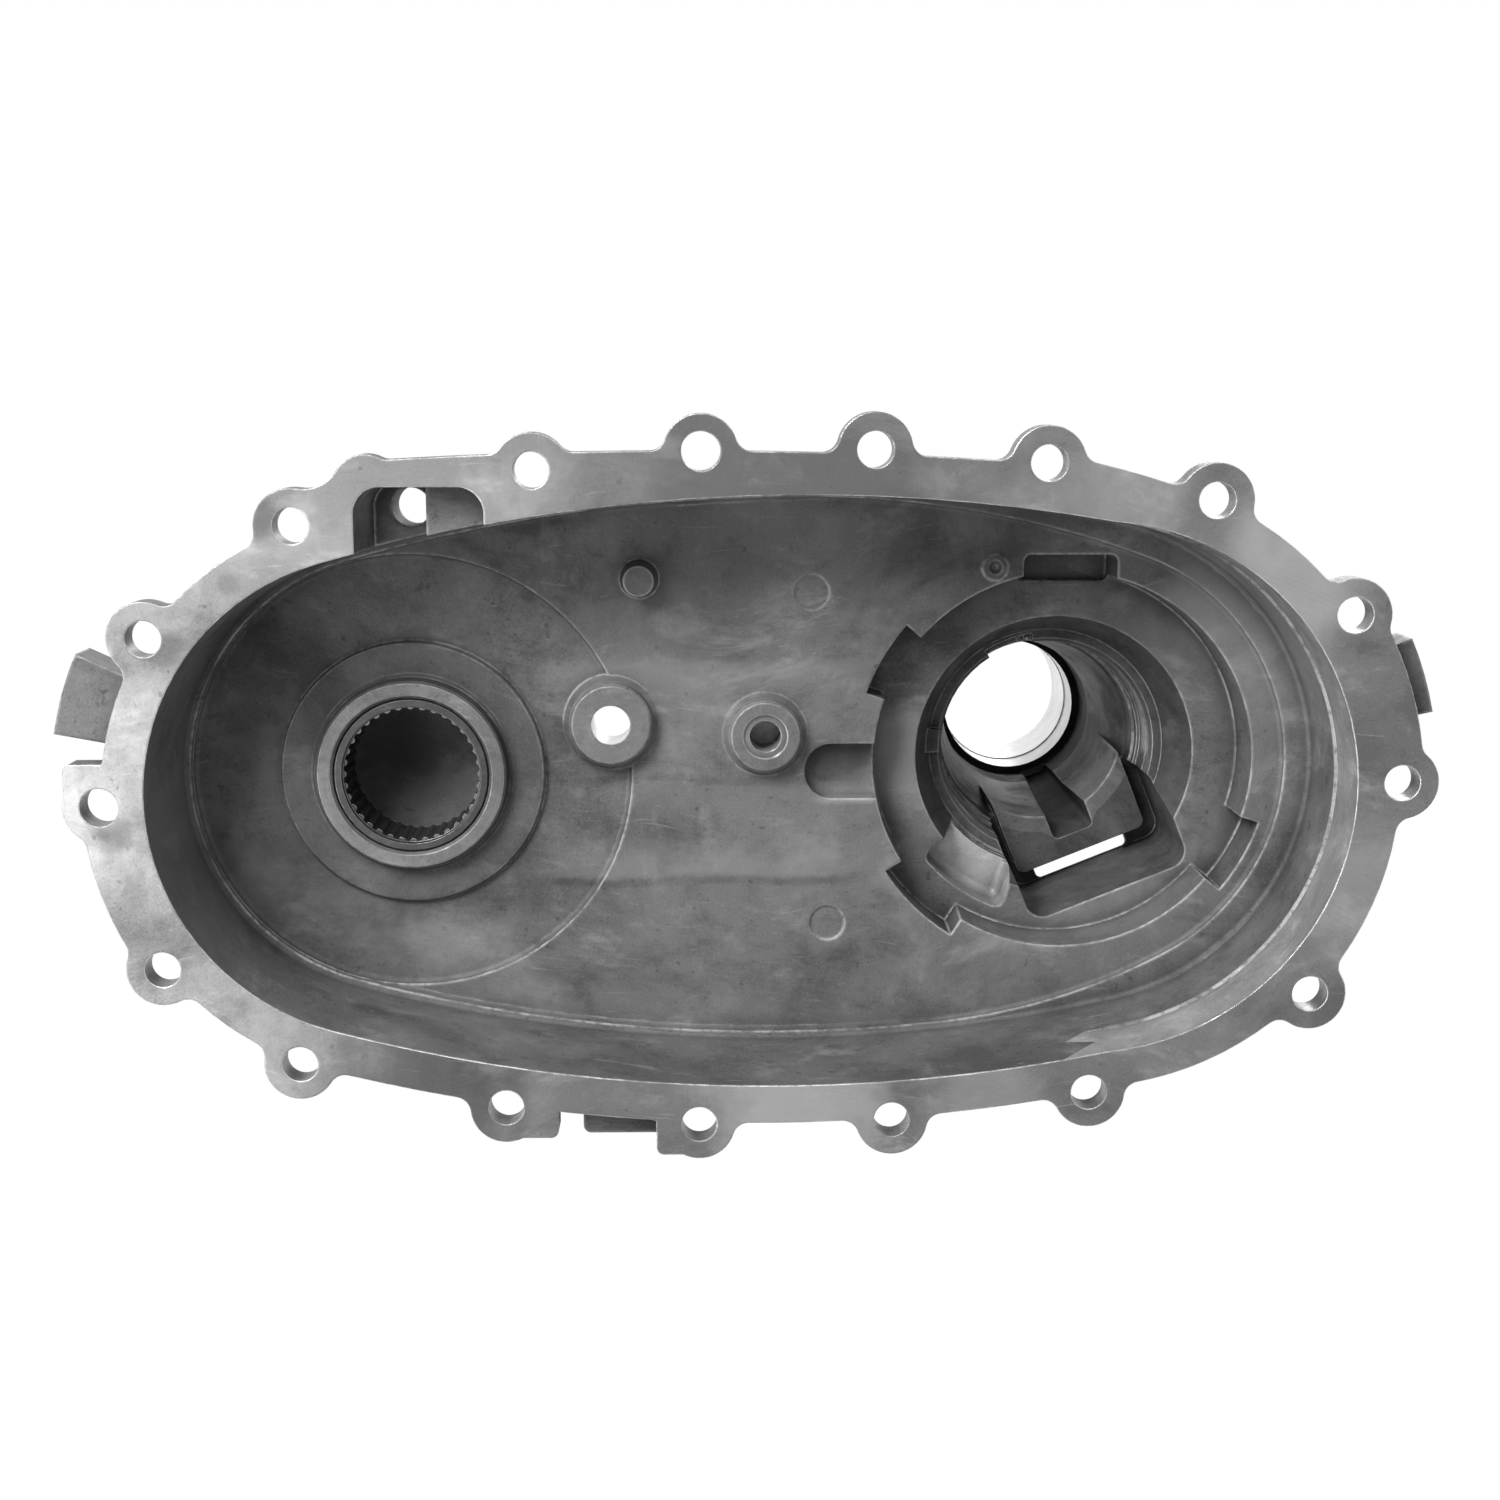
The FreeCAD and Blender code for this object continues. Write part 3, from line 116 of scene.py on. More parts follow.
@dataclass(frozen=True)
class Ring:
    """A ring-shaped space round an axis along Y, whose faces share one finish.

    Args:
        surface: How its faces were made.
        axis: The axis, as X and Z in millimetres.
        near: The depth where it starts, in millimetres.
        far: The depth where it ends, in millimetres.
        inner: Its inner radius, in millimetres, below 0 where it starts at the axis.
        outer: Its outer radius, in millimetres.
        facing: The way its faces face.
        angles: The stretch of it that counts, in degrees.
    """

    surface: Surface
    axis: Point
    near: float = -NO_LIMIT
    far: float = NO_LIMIT
    inner: float = -1.0
    outer: float = NO_LIMIT
    facing: Facing = Facing.ANY
    angles: Point = (-NO_LIMIT, NO_LIMIT)

    def holds(self, point: Vector, normal: Vector) -> bool:
        """Tells whether a face lies in the ring.

        Args:
            point: The face's middle, in millimetres.
            normal: The way it faces.

        Returns:
            Whether it does.
        """
        outwards = Vector((point.x - self.axis[0], 0.0, point.z - self.axis[1]))
        if not (self.near < point.y < self.far and self.inner < outwards.length < self.outer):
            return False
        angle = math.degrees(math.atan2(outwards.z, outwards.x))
        return self.angles[0] < angle < self.angles[1] and self.facing.fits(normal, outwards)


@dataclass(frozen=True)
class WellPart:
    """A stretch of the tilted sensor well, or of the channel that runs on from it.

    Args:
        surface: How its faces were made.
        near: The depth where it starts, in millimetres.
        far: The depth where it ends, in millimetres.
        left: Its left side across the well, in millimetres.
        right: Its right side across the well, in millimetres.
        top: How far below the main shaft it starts, in millimetres.
        low: How far below the main shaft it ends, in millimetres.
        inner: How far from the main shaft it starts, in millimetres, below 0 for no limit.
        outer: How far from the main shaft it reaches, in millimetres.
        draft: How much each side draws in with each millimetre of depth.
        facing: The way its faces face.
        tilt: How far the well is turned round the main shaft, in degrees.
    """

    surface: Surface
    near: float
    far: float
    left: float
    right: float
    top: float
    low: float = NO_LIMIT
    inner: float = -1.0
    outer: float = NO_LIMIT
    draft: float = 0.0
    facing: Facing = Facing.ANY
    tilt: float = 21.8

    def holds(self, point: Vector, normal: Vector) -> bool:
        """Tells whether a face lies in this part of the well.

        Args:
            point: The face's middle, in millimetres.
            normal: The way it faces.

        Returns:
            Whether it does.
        """
        tilt = math.radians(self.tilt)
        across = point.x * math.cos(tilt) + point.z * math.sin(tilt)
        down = point.x * math.sin(tilt) - point.z * math.cos(tilt)
        drawn_in = (point.y - self.near) * self.draft
        outwards = Vector((point.x, 0.0, point.z))
        return (
            self.near < point.y < self.far
            and self.left + drawn_in < across < self.right - drawn_in
            and self.top < down < self.low
            and self.inner < outwards.length < self.outer
            and self.facing.fits(normal, outwards)
        )


# What the spaces of the throat, the bearing seat's lugs and the sensor well have in common
THROAT: dict[str, object] = {"surface": Surface.BORE, "near": 69.5, "inner": 38.6, "facing": Facing.INTO_BORE}

# The spaces that tell how each face was made: the first that holds a face counts
SPACES: tuple[Ring | WellPart, ...] = (
    # The mating face, the holes in the flange and the milled band inside it
    Ring(Surface.SEALING, MAIN_SHAFT, far=0.05, facing=Facing.OPEN_SIDE),
    *(Ring(Surface.DRILLED, hole, far=9.09, outer=6.1) for hole in FLANGE_HOLES),
    Ring(Surface.MILLED, MAIN_SHAFT, far=22.1, inner=81.8, outer=83.4, facing=Facing.INWARDS),
    # The ball bearing's seat, its shoulder and the bright bore round the bushing
    Ring(Surface.TURNED, MAIN_SHAFT, near=88.1, far=104.9, inner=35.0, outer=38.6, facing=Facing.INWARDS),
    Ring(Surface.TURNED, MAIN_SHAFT, near=104.9, far=105.1, outer=38.0),
    Ring(Surface.LAND, MAIN_SHAFT, near=185.1, outer=32.5, facing=Facing.INWARDS),
    # The shelf pocket, the channel below the tail's bore, the bore itself and the step at the seat
    Ring(Surface.MILLED, MAIN_SHAFT, near=69.2, far=84.1, inner=40.5, outer=56.0, angles=(-141.8, -107.2)),
    WellPart(Surface.BORE, near=108.2, far=184.99, left=-7.5, right=7.5, top=24.0, draft=2.9 / 77.0),
    Ring(Surface.TUBE, MAIN_SHAFT, near=160.0, outer=27.5),
    Ring(Surface.BORE, MAIN_SHAFT, near=87.9, far=88.1, outer=45.0),
    # The mouth of the throat, the throat itself, the bearing seat's lugs and the sensor well
    Ring(axis=MAIN_SHAFT, far=72.5, outer=62.0, **THROAT),
    Ring(axis=MAIN_SHAFT, far=118.5, outer=41.5, **THROAT),
    Ring(axis=MAIN_SHAFT, far=88.1, outer=48.0, **THROAT),
    WellPart(far=118.5, left=-27.2, right=30.2, top=15.0, low=51.8, outer=62.0, **THROAT),
    # The end of the tail
    Ring(Surface.TURNED, MAIN_SHAFT, near=246.0, facing=Facing.TAIL_END),
    # The needle bearing's seat, the faces of the two small bosses and their holes
    Ring(Surface.SEAT, SECOND_SHAFT, far=45.0, outer=31.2),
    Ring(Surface.SEAT, THROUGH_BOSS, far=44.3, outer=14.0),
    Ring(Surface.SEAT, BLIND_BOSS, far=44.3, outer=14.0),
    Ring(Surface.TURNED, BLIND_BOSS, far=45.1, outer=7.4, facing=Facing.OPEN_SIDE),
    Ring(Surface.LAND, BLIND_BOSS, far=45.1, outer=7.4),
    Ring(Surface.TAPPED, BLIND_BOSS, far=62.1, outer=5.4),
    Ring(Surface.LAND, THROUGH_BOSS, outer=6.5),
)


@dataclass(frozen=True)
class Finish:
    """How one kind of metal surface looks.

    Args:
        name: The material's name.
        tone: The grey of the bare surface.
        dark: The grey of its stains, and the base grey of its painted shade in patches and corners.
        edge: The grey of its rubbed edges, which is partly a painted highlight on its edges.
        metallic: How much of it reflects as bare metal.
        roughness: The roughness of the clean surface.
        mottle: How strongly the patches show, from 0 to 1.
        mottle_scale: The size of the patches, in patches to the metre.
        grain: The height of the fine skin, in metres.
        grain_scale: The fineness of that skin, in bumps to the metre.
        edge_radius: How far the rounding, wear and painted highlight of an edge reach, in metres.
        edge_wear_and_highlight: How strongly a rubbed edge and its painted highlight show, from 0 to 1.
    """

    name: str
    tone: float
    dark: float
    edge: float
    metallic: float
    roughness: float
    mottle: float
    mottle_scale: float
    grain: float
    grain_scale: float
    edge_radius: float
    edge_wear_and_highlight: float


@dataclass(frozen=True)
class ToolMarks:
    """The marks that a cutting tool leaves on a surface.

    Args:
        centre: The axis that the rings run round, as X and Z in millimetres.
        rings: How many rings there are to the metre.
        height: How deep the marks are, in metres.
        contrast: How much they lighten and darken the tone, from 0 to 1.
        along: Whether the rings follow the depth and not the radius.
    """

    centre: Point
    rings: float
    height: float
    contrast: float
    along: bool = False


@dataclass(frozen=True)
class Patch:
    """A soft lighter or darker patch on a surface, used for painted light, painted shade and smudges.

    Args:
        place: Its middle, as X, Y and Z in millimetres.
        radius: How far it reaches, in millimetres.
        strength: How strongly it shows, above 0 for lighter and below 0 for darker.
    """

    place: Place
    radius: float
    strength: float


@dataclass(frozen=True)
class Band:
    """The stretch of a pattern that shows.

    Args:
        low: The pattern's value where it starts to show.
        high: The value where it shows fully.
        share: How strongly it shows, from 0 to 1.
    """

    low: float
    high: float
    share: float = 1.0


@dataclass(frozen=True)
class Stretch:
    """A stretch of the floor with soft ends, in millimetres.

    Args:
        start: Where it starts.
        full: Where it is full.
        fading: Where it starts to fade.
        end: Where it ends.
    """

    start: float
    full: float
    fading: float
    end: float


@dataclass(frozen=True)
class Lamp:
    """A soft square lamp.

    Args:
        name: Its name.
        place: Where it hangs, in metres.
        size: The length of its side, in metres.
        power: Its power in watts.
        shine_only: Whether it only shows as a reflection.
    """

    name: str
    place: Place
    size: float
    power: float
    shine_only: bool = False


# Each finish: its name; tone, dark and edge (rubbed edge with painted highlight); metallic and roughness;
# mottle and its scale; grain and its scale; edge radius and edge wear (with painted highlight)
CAST_SKIN = Finish("cast_skin", 0.19, 0.09, 0.62, 0.1, 0.5, 0.9, 20.0, 1.1e-4, 1100.0, 0.0017, 1.0)
# Darker than the cast skin: painted shade in the throat, and nearly black painted shade in the tail's tube
BORE_SKIN_AND_PAINTED_SHADE = Finish("bore_skin_and_painted_shade", 0.125, 0.06, 0.6, 0.1, 0.6, 0.8, 40.0, 8e-5, 1100.0, 0.0009, 0.9)
TUBE_SKIN_AND_PAINTED_SHADE = Finish("tube_skin_and_painted_shade", 0.03, 0.015, 0.3, 0.1, 0.6, 0.8, 60.0, 5e-5, 1100.0, 0.0007, 0.5)
TURNED_LAND = Finish("turned_land", 0.85, 0.6, 0.95, 0.6, 0.3, 0.3, 60.0, 1e-5, 2500.0, 0.0004, 0.6)
MILLED_BAND = Finish("milled_band", 0.5, 0.24, 0.7, 0.3, 0.4, 0.7, 30.0, 4e-5, 1500.0, 0.0007, 0.9)
SEALING_FACE = Finish("sealing_face", 0.21, 0.11, 0.85, 0.9, 0.42, 0.8, 17.0, 2.5e-5, 2600.0, 0.0008, 0.9)
DRILLED_HOLE = Finish("drilled_hole", 0.3, 0.12, 0.8, 0.6, 0.35, 0.5, 160.0, 2e-5, 2500.0, 0.0004, 0.8)
# Far lighter than the metal: painted light at the bottom of the deep blind hole, where the lamps hardly reach
TAPPED_HOLE_PAINTED_LIGHT = Finish("tapped_hole_painted_light", 0.7, 0.3, 0.6, 0.4, 0.4, 0.6, 160.0, 2e-5, 2500.0, 0.0004, 0.6)
TURNED_BORE = Finish("turned_bore", 0.23, 0.09, 0.9, 0.5, 0.3, 0.4, 60.0, 1e-5, 2500.0, 0.0005, 0.8)
BORED_SEAT = Finish("bored_seat", 0.18, 0.085, 0.8, 0.4, 0.4, 0.7, 40.0, 5e-5, 1300.0, 0.0007, 1.0)
CUP_STEEL = Finish("cup_steel", 0.075, 0.025, 0.5, 0.7, 0.3, 0.5, 120.0, 1e-5, 2000.0, 0.0004, 0.9)
ROLLER_STEEL = Finish("roller_steel", 0.17, 0.05, 0.4, 0.9, 0.3, 0.3, 200.0, 1e-5, 2000.0, 0.0002, 0.4)
BUSHING_METAL = Finish("bushing_metal", 0.88, 0.6, 0.9, 0.85, 0.3, 0.3, 80.0, 1e-5, 2200.0, 0.0004, 0.5)

# The soft patches: painted shadow and painted light on the cast skin, painted shade in the bore, and smudges
# with painted sheen on the mating face
CAST_PAINTED_LIGHT_AND_SHADE = (
    Patch((-212.0, 50.0, -2.0), 88.0, -0.45),
    Patch((-255.0, 50.0, 45.0), 50.0, -0.4),
    Patch((-30.0, 55.0, 72.0), 48.0, -0.35),
    Patch((-120.0, 50.0, 60.0), 40.0, -0.25),
    Patch((60.0, 30.0, 50.0), 44.0, 0.55),
    Patch((-250.0, 50.0, -50.0), 42.0, -0.4),
    Patch((27.0, 69.0, 47.0), 30.0, -0.35),
    Patch((-54.0, 69.0, 0.0), 24.0, 0.5),
    Patch((27.0, 69.0, -48.0), 28.0, 0.25),
    Patch((-285.0, 25.0, -25.0), 50.0, 0.35),
    Patch((-212.0, 76.0, -2.0), 34.0, -0.78),
    Patch((-212.0, 49.0, -40.0), 14.0, -0.35),
    Patch((-90.0, 22.0, 92.0), 46.0, 0.3),
    Patch((-30.0, 22.0, 92.0), 40.0, 0.3),
    Patch((-78.0, 58.0, 3.0), 12.0, -0.9),
    Patch((-68.0, 58.0, 3.0), 12.0, -0.9),
)
# Painted shade deep in the tail's bore
BORE_PAINTED_SHADE = (Patch((11.0, 165.0, -29.0), 60.0, -0.9),)
# Small smudges, and large lighter and darker patches that paint the sheen of the mating face's reflections
FLANGE_SMUDGES_AND_SHEEN = (
    Patch((60.0, 0.0, 66.0), 30.0, 0.6),
    Patch((84.0, 0.0, -30.0), 26.0, 0.3),
    Patch((-89.0, 0.0, -98.0), 36.0, 0.5),
    Patch((-30.0, 0.0, -95.0), 26.0, 0.3),
    Patch((10.0, 0.0, 95.0), 26.0, 0.3),
    Patch((-330.0, 0.0, 0.0), 60.0, 0.3),
    Patch((-205.0, 0.0, -92.0), 40.0, -0.7),
    Patch((-150.0, 0.0, -100.0), 30.0, -0.3),
    Patch((-92.0, 0.0, 100.0), 75.0, -0.5),
    Patch((-250.0, 0.0, 84.0), 9.0, -0.6),
    Patch((-259.0, 0.0, 64.0), 4.5, -0.3),
    Patch((-278.0, 0.0, 45.0), 8.0, -0.5),
    Patch((-297.0, 0.0, -12.0), 8.0, -0.4),
)

# How far each pattern of the metal's stains darkens it, and how far it lightens it
STAINS = {
    "wide": Band(0.45, 0.66, 0.6),
    "streaks": Band(0.5, 0.68, 0.6),
    "specks": Band(0.66, 0.74, 0.7),
    "clouds": Band(0.5, 0.7, 0.45),
    "speckle": Band(0.5, 0.75, 0.5),
}
PALE_PLACES = {
    "streaks": Band(0.46, 0.3),
    "wide": Band(0.44, 0.3, 0.7),
    "clouds": Band(0.46, 0.28, 0.5),
    "scratches": Band(0.7, 0.8, 0.6),
    "speckle": Band(0.42, 0.25, 0.4),
}

# The two low raised bands across the case's floor, the painted highlights on their crests and a painted
# highlight on the oil groove's lip.
# The rise of the bands and the wavering of their edges are in millimetres
BANDS_ACROSS = Stretch(-182.0, -150.0, -78.0, -58.0)
UPPER_BAND = Stretch(-6.5, -3.0, 31.0, 37.0)
LOWER_BAND = Stretch(-41.0, -37.5, -34.0, -12.0)
UPPER_CREST_HIGHLIGHT = Stretch(22.0, 32.0, 32.0, 36.0)
LOWER_CREST_HIGHLIGHT = Stretch(-38.5, -36.0, -34.0, -22.0)
GROOVE_LIP_HIGHLIGHT = Stretch(-13.6, -11.9, -11.2, -10.2)
GROOVE_LIP_HIGHLIGHT_ACROSS = Stretch(-84.0, -77.0, -62.5, -61.5)
GROOVE_LIP_HIGHLIGHT_STRENGTH = 2.0
FLOOR_BAND_RISE = 0.55
BAND_WAVER = 6.0

# How far an edge turns before it shows wear and painted highlight, and the least of these that its fine and
# wide breaks leave
EDGE_TURN = Band(0.015, 0.2)
FINE_BREAK_LEAST = 0.35
WIDE_BREAK_LEAST = 0.3

# The painted shade in corners and creases, from ambient occlusion, with its reach in millimetres
CORNER_REACH = 9.0
CORNER_SHADE = Band(0.95, 0.4)

# How the stains are bent out of shape: the bends to the metre, and how far they push in metres
BEND_SCALE = 11.0
BEND_REACH = 0.045

# The coarse part of a skin against its fine part, and what the weakest tool marks keep
COARSE_SCALE = 0.16
COARSE_SHARE = 1.8
RING_LEAST = 0.35

# How the looks of a metal are mixed: each tone is a share of one of the finish's own greys
PALE_TONE = 1.6
# The painted highlight on the crests of the floor's bands: its tone and share
CREST_HIGHLIGHT_TONE = 1.7
CREST_HIGHLIGHT_SHARE = 0.35
LIGHT_PATCH_TONE = 2.2
DARK_PATCH_TONE = 0.5
PATCH_FADE = Band(1.0, 0.35)
PATCH_RAGGEDNESS = 1.1
RING_SHADE = Band(0.3, 0.8)
# The tone and share of the painted shade in corners and creases
CORNER_SHADE_TONE = 0.4
CORNER_SHADE_SHARE = 0.75
STAIN_DULLNESS = 0.22
SPECULAR = 0.2

LAMPS = (
    Lamp("key_lamp", (-0.72, -0.83, 0.78), 0.6, 20.0),
    Lamp("back_lamp", (0.45, 1.15, 0.75), 0.8, 14.0),
    Lamp("sheen_lamp", (-0.78, -0.85, -0.22), 0.3, 6.0, shine_only=True),
)


class Nodes:
    """A small helper that adds and joins the nodes of one shader tree."""

    def __init__(self, tree: bpy.types.NodeTree) -> None:
        """Keeps the tree that the nodes go into.

        Args:
            tree: The node tree of a material, a world or a group.
        """
        self.tree = tree

    def add(self, kind: str, **settings: object) -> bpy.types.Node:
        """Adds a node and sets its own options.

        Args:
            kind: The node's type name.
            settings: The options to set on it.

        Returns:
            The new node.
        """
        node = self.tree.nodes.new(kind)
        for name, value in settings.items():
            setattr(node, name, value)
        return node

    def join(self, source: bpy.types.NodeSocket, target: bpy.types.NodeSocket) -> None:
        """Links an output to an input."""
        self.tree.links.new(source, target)

    def feed(self, value: object, target: bpy.types.NodeSocket) -> None:
        """Links a socket to an input, or sets a plain value on it.

        Args:
            value: A socket or a plain value.
            target: The input to feed.
        """
        if isinstance(value, bpy.types.NodeSocket):
            self.join(value, target)
        else:
            target.default_value = value

    def maths(self, operation: str, *values: object, clamp: bool = False) -> bpy.types.NodeSocket:
        """Adds a Math node.

        Args:
            operation: The sum to work out.
            values: Its inputs, as sockets or numbers.
            clamp: Whether the result is kept between 0 and 1.

        Returns:
            The result's socket.
        """
        node = self.add("ShaderNodeMath", operation=operation, use_clamp=clamp)
        for i, value in enumerate(values):
            self.feed(value, node.inputs[i])
        return node.outputs[0]

    def mix(self, factor: object, first: object, second: object) -> bpy.types.NodeSocket:
        """Mixes two colours.

        Args:
            factor: How much of the second colour there is.
            first: The colour at factor 0.
            second: The colour at factor 1.

        Returns:
            The mixed colour's socket.
        """
        node = self.add("ShaderNodeMix", data_type="RGBA")
        self.feed(factor, node.inputs["Factor"])
        self.feed(first, node.inputs[6])
        self.feed(second, node.inputs[7])
        return node.outputs[2]

    def noise(self, vector: object, scale: object, detail: float, rough: float) -> bpy.types.NodeSocket:
        """Adds a noise texture.

        Args:
            vector: Where the pattern is read.
            scale: The pattern's scale.
            detail: How many finer layers it has.
            rough: How strong those layers are.

        Returns:
            The noise value's socket.
        """
        node = self.add("ShaderNodeTexNoise", noise_dimensions="3D")
        self.feed(vector, node.inputs["Vector"])
        self.feed(scale, node.inputs["Scale"])
        node.inputs["Detail"].default_value = detail
        node.inputs["Roughness"].default_value = rough
        return node.outputs["Fac"]

    def ramp(self, value: object, low: float, high: float) -> bpy.types.NodeSocket:
        """Turns the stretch of a value between two limits into 0 to 1, smoothly.

        Args:
            value: The value to read.
            low: Where the result is 0.
            high: Where the result is 1.

        Returns:
            The result's socket.
        """
        node = self.add("ShaderNodeMapRange", interpolation_type="SMOOTHSTEP")
        self.feed(value, node.inputs["Value"])
        node.inputs["From Min"].default_value = low
        node.inputs["From Max"].default_value = high
        return node.outputs["Result"]

    def show(self, patterns: dict[str, bpy.types.NodeSocket], bands: dict[str, Band]) -> bpy.types.NodeSocket:
        """Adds up the stretches of some patterns that show.

        Args:
            patterns: The patterns by name.
            bands: What shows of each.

        Returns:
            The sum's socket.
        """
        total = 0.0
        for name, band in bands.items():
            shown = self.maths("MULTIPLY", self.ramp(patterns[name], band.low, band.high), band.share)
            total = self.maths("ADD", total, shown)
        return total

    def within(self, value: object, stretch: Stretch) -> bpy.types.NodeSocket:
        """Gives 1 within a stretch and 0 outside it, with soft ends.

        Args:
            value: The place to read, in metres.
            stretch: The stretch.

        Returns:
            The result's socket.
        """
        rise = self.ramp(value, stretch.start * MM, stretch.full * MM)
        return self.maths("MULTIPLY", rise, self.ramp(value, stretch.end * MM, stretch.fading * MM))

    def place(self) -> bpy.types.NodeSocket:
        """Returns the socket of a point's place on the part."""
        return self.add("ShaderNodeTexCoord").outputs["Object"]

    def split(self, vector: bpy.types.NodeSocket) -> bpy.types.Node:
        """Splits a vector into X, Y and Z.

        Args:
            vector: The vector.

        Returns:
            The node with the three parts.
        """
        node = self.add("ShaderNodeSeparateXYZ")
        self.join(vector, node.inputs[0])
        return node

    def turn_and_stretch(self, vector: object, degrees: float, scale: Place) -> bpy.types.NodeSocket:
        """Turns a pattern round the depth and stretches it.

        Args:
            vector: Where the pattern is read.
            degrees: How far it is turned.
            scale: How much finer it gets along X, Y and Z.

        Returns:
            The new vector's socket.
        """
        node = self.add("ShaderNodeMapping")
        node.inputs["Rotation"].default_value = (0.0, math.radians(degrees), 0.0)
        node.inputs["Scale"].default_value = scale
        self.join(vector, node.inputs["Vector"])
        return node.outputs["Vector"]

    def seen(self) -> bpy.types.NodeSocket:
        """Tells the camera's rays, its reflections and what it sees through glass from other light.

        Returns:
            The socket, which is 1 for those rays and 0 for others.
        """
        rays = self.add("ShaderNodeLightPath")
        seen = self.maths("ADD", rays.outputs["Is Camera Ray"], rays.outputs["Is Glossy Ray"])
        return self.maths("ADD", seen, rays.outputs["Is Transmission Ray"], clamp=True)


class ShaderGroup:
    """A shader node group with named inputs and outputs."""

    def __init__(self, name: str, inputs: dict[str, str], outputs: dict[str, str]) -> None:
        """Makes the empty group.

        Args:
            name: The group's name.
            inputs: The name of each input and its socket type.
            outputs: The name of each output and its socket type.
        """
        self.tree = bpy.data.node_groups.new(name, "ShaderNodeTree")
        for label, kind in inputs.items():
            self.tree.interface.new_socket(name=label, in_out="INPUT", socket_type=kind)
        for label, kind in outputs.items():
            self.tree.interface.new_socket(name=label, in_out="OUTPUT", socket_type=kind)
        self.nodes = Nodes(self.tree)
        self.start = self.nodes.add("NodeGroupInput")
        self.end = self.nodes.add("NodeGroupOutput")

    def give(self, label: str) -> bpy.types.NodeSocket:
        """Returns the socket of a named input."""
        return self.start.outputs[label]

    def put(self, label: str, socket: bpy.types.NodeSocket) -> None:
        """Links a socket to a named output."""
        self.nodes.join(socket, self.end.inputs[label])


def edge_highlight_and_corner_shade_group() -> bpy.types.NodeTree:
    """Builds the group that finds rounded edges, for their wear and painted highlight, and corners, for their
    painted shade.

    Returns:
        The group, with inputs Radius and Amount and outputs Mask, the painted shade in corners, and Normal.
    """
    group = ShaderGroup(
        "edge_wear_and_highlight",
        {"Radius": "NodeSocketFloat", "Amount": "NodeSocketFloat"},
        {"Mask": "NodeSocketFloat", "PaintedShade": "NodeSocketFloat", "Normal": "NodeSocketVector"},
    )
    nodes = group.nodes
    bevel = nodes.add("ShaderNodeBevel", samples=6)
    nodes.join(group.give("Radius"), bevel.inputs["Radius"])
    geometry = nodes.add("ShaderNodeNewGeometry")
    dot = nodes.add("ShaderNodeVectorMath", operation="DOT_PRODUCT")
    nodes.join(bevel.outputs["Normal"], dot.inputs[0])
    nodes.join(geometry.outputs["Normal"], dot.inputs[1])
    turned = nodes.maths("SUBTRACT", 1.0, dot.outputs["Value"], clamp=True)
    place = nodes.place()
    broken = nodes.ramp(nodes.noise(place, scale=420.0, detail=3.0, rough=0.6), low=0.3, high=0.62)
    uneven = nodes.ramp(nodes.noise(place, scale=42.0, detail=3.0, rough=0.6), low=0.38, high=0.66)
    broken = nodes.maths("ADD", FINE_BREAK_LEAST, broken)
    broken = nodes.maths("MULTIPLY", broken, nodes.maths("ADD", WIDE_BREAK_LEAST, uneven))
    strength = nodes.maths("MULTIPLY", nodes.ramp(turned, EDGE_TURN.low, EDGE_TURN.high), broken)
    # Ambient occlusion, for the painted shade in corners and creases
    corner = nodes.add("ShaderNodeAmbientOcclusion", samples=4, only_local=True)
    corner.inputs["Distance"].default_value = CORNER_REACH * MM
    group.put("PaintedShade", nodes.ramp(corner.outputs["AO"], CORNER_SHADE.low, CORNER_SHADE.high))
    group.put("Mask", nodes.maths("MULTIPLY", strength, group.give("Amount"), clamp=True))
    group.put("Normal", bevel.outputs["Normal"])
    return group.tree


def mottle_group() -> bpy.types.NodeTree:
    """Builds the group that gives stains, flow streaks and paler patches.

    Returns:
        The group, with inputs Scale and Amount and outputs Dark and Light.
    """
    group = ShaderGroup(
        "mottle",
        {"Scale": "NodeSocketFloat", "Amount": "NodeSocketFloat"},
        {"Dark": "NodeSocketFloat", "Light": "NodeSocketFloat"},
    )
    nodes = group.nodes
    place = nodes.place()
    scale = group.give("Scale")
    bend = nodes.add("ShaderNodeTexNoise", noise_dimensions="3D")
    nodes.join(place, bend.inputs["Vector"])
    bend.inputs["Scale"].default_value = BEND_SCALE
    bend.inputs["Detail"].default_value = 2.0
    push = nodes.add("ShaderNodeVectorMath", operation="MULTIPLY_ADD")
    nodes.join(bend.outputs["Color"], push.inputs[0])
    push.inputs[1].default_value = (BEND_REACH, BEND_REACH, BEND_REACH)
    nodes.join(place, push.inputs[2])
    bent = push.outputs[0]
    flow = nodes.turn_and_stretch(bent, degrees=24.0, scale=(0.7, 1.0, 1.7))
    hatching = nodes.turn_and_stretch(bent, degrees=-38.0, scale=(40.0, 300.0, 1400.0))
    patterns = {
        "wide": nodes.noise(bent, scale, detail=5.0, rough=0.6),
        "streaks": nodes.noise(flow, nodes.maths("MULTIPLY", scale, 1.6), detail=7.0, rough=0.7),
        "specks": nodes.noise(place, nodes.maths("MULTIPLY", scale, 16.0), detail=2.0, rough=0.5),
        "clouds": nodes.noise(bent, nodes.maths("MULTIPLY", scale, 3.5), detail=6.0, rough=0.65),
        "speckle": nodes.noise(place, scale=1300.0, detail=2.0, rough=0.7),
        "scratches": nodes.noise(hatching, scale=1.0, detail=1.0, rough=0.5),
    }
    dark = nodes.maths("MINIMUM", nodes.show(patterns, STAINS), 1.0)
    group.put("Dark", nodes.maths("MULTIPLY", dark, group.give("Amount"), clamp=True))
    light = nodes.show(patterns, PALE_PLACES)
    group.put("Light", nodes.maths("MULTIPLY", light, group.give("Amount"), clamp=True))
    return group.tree


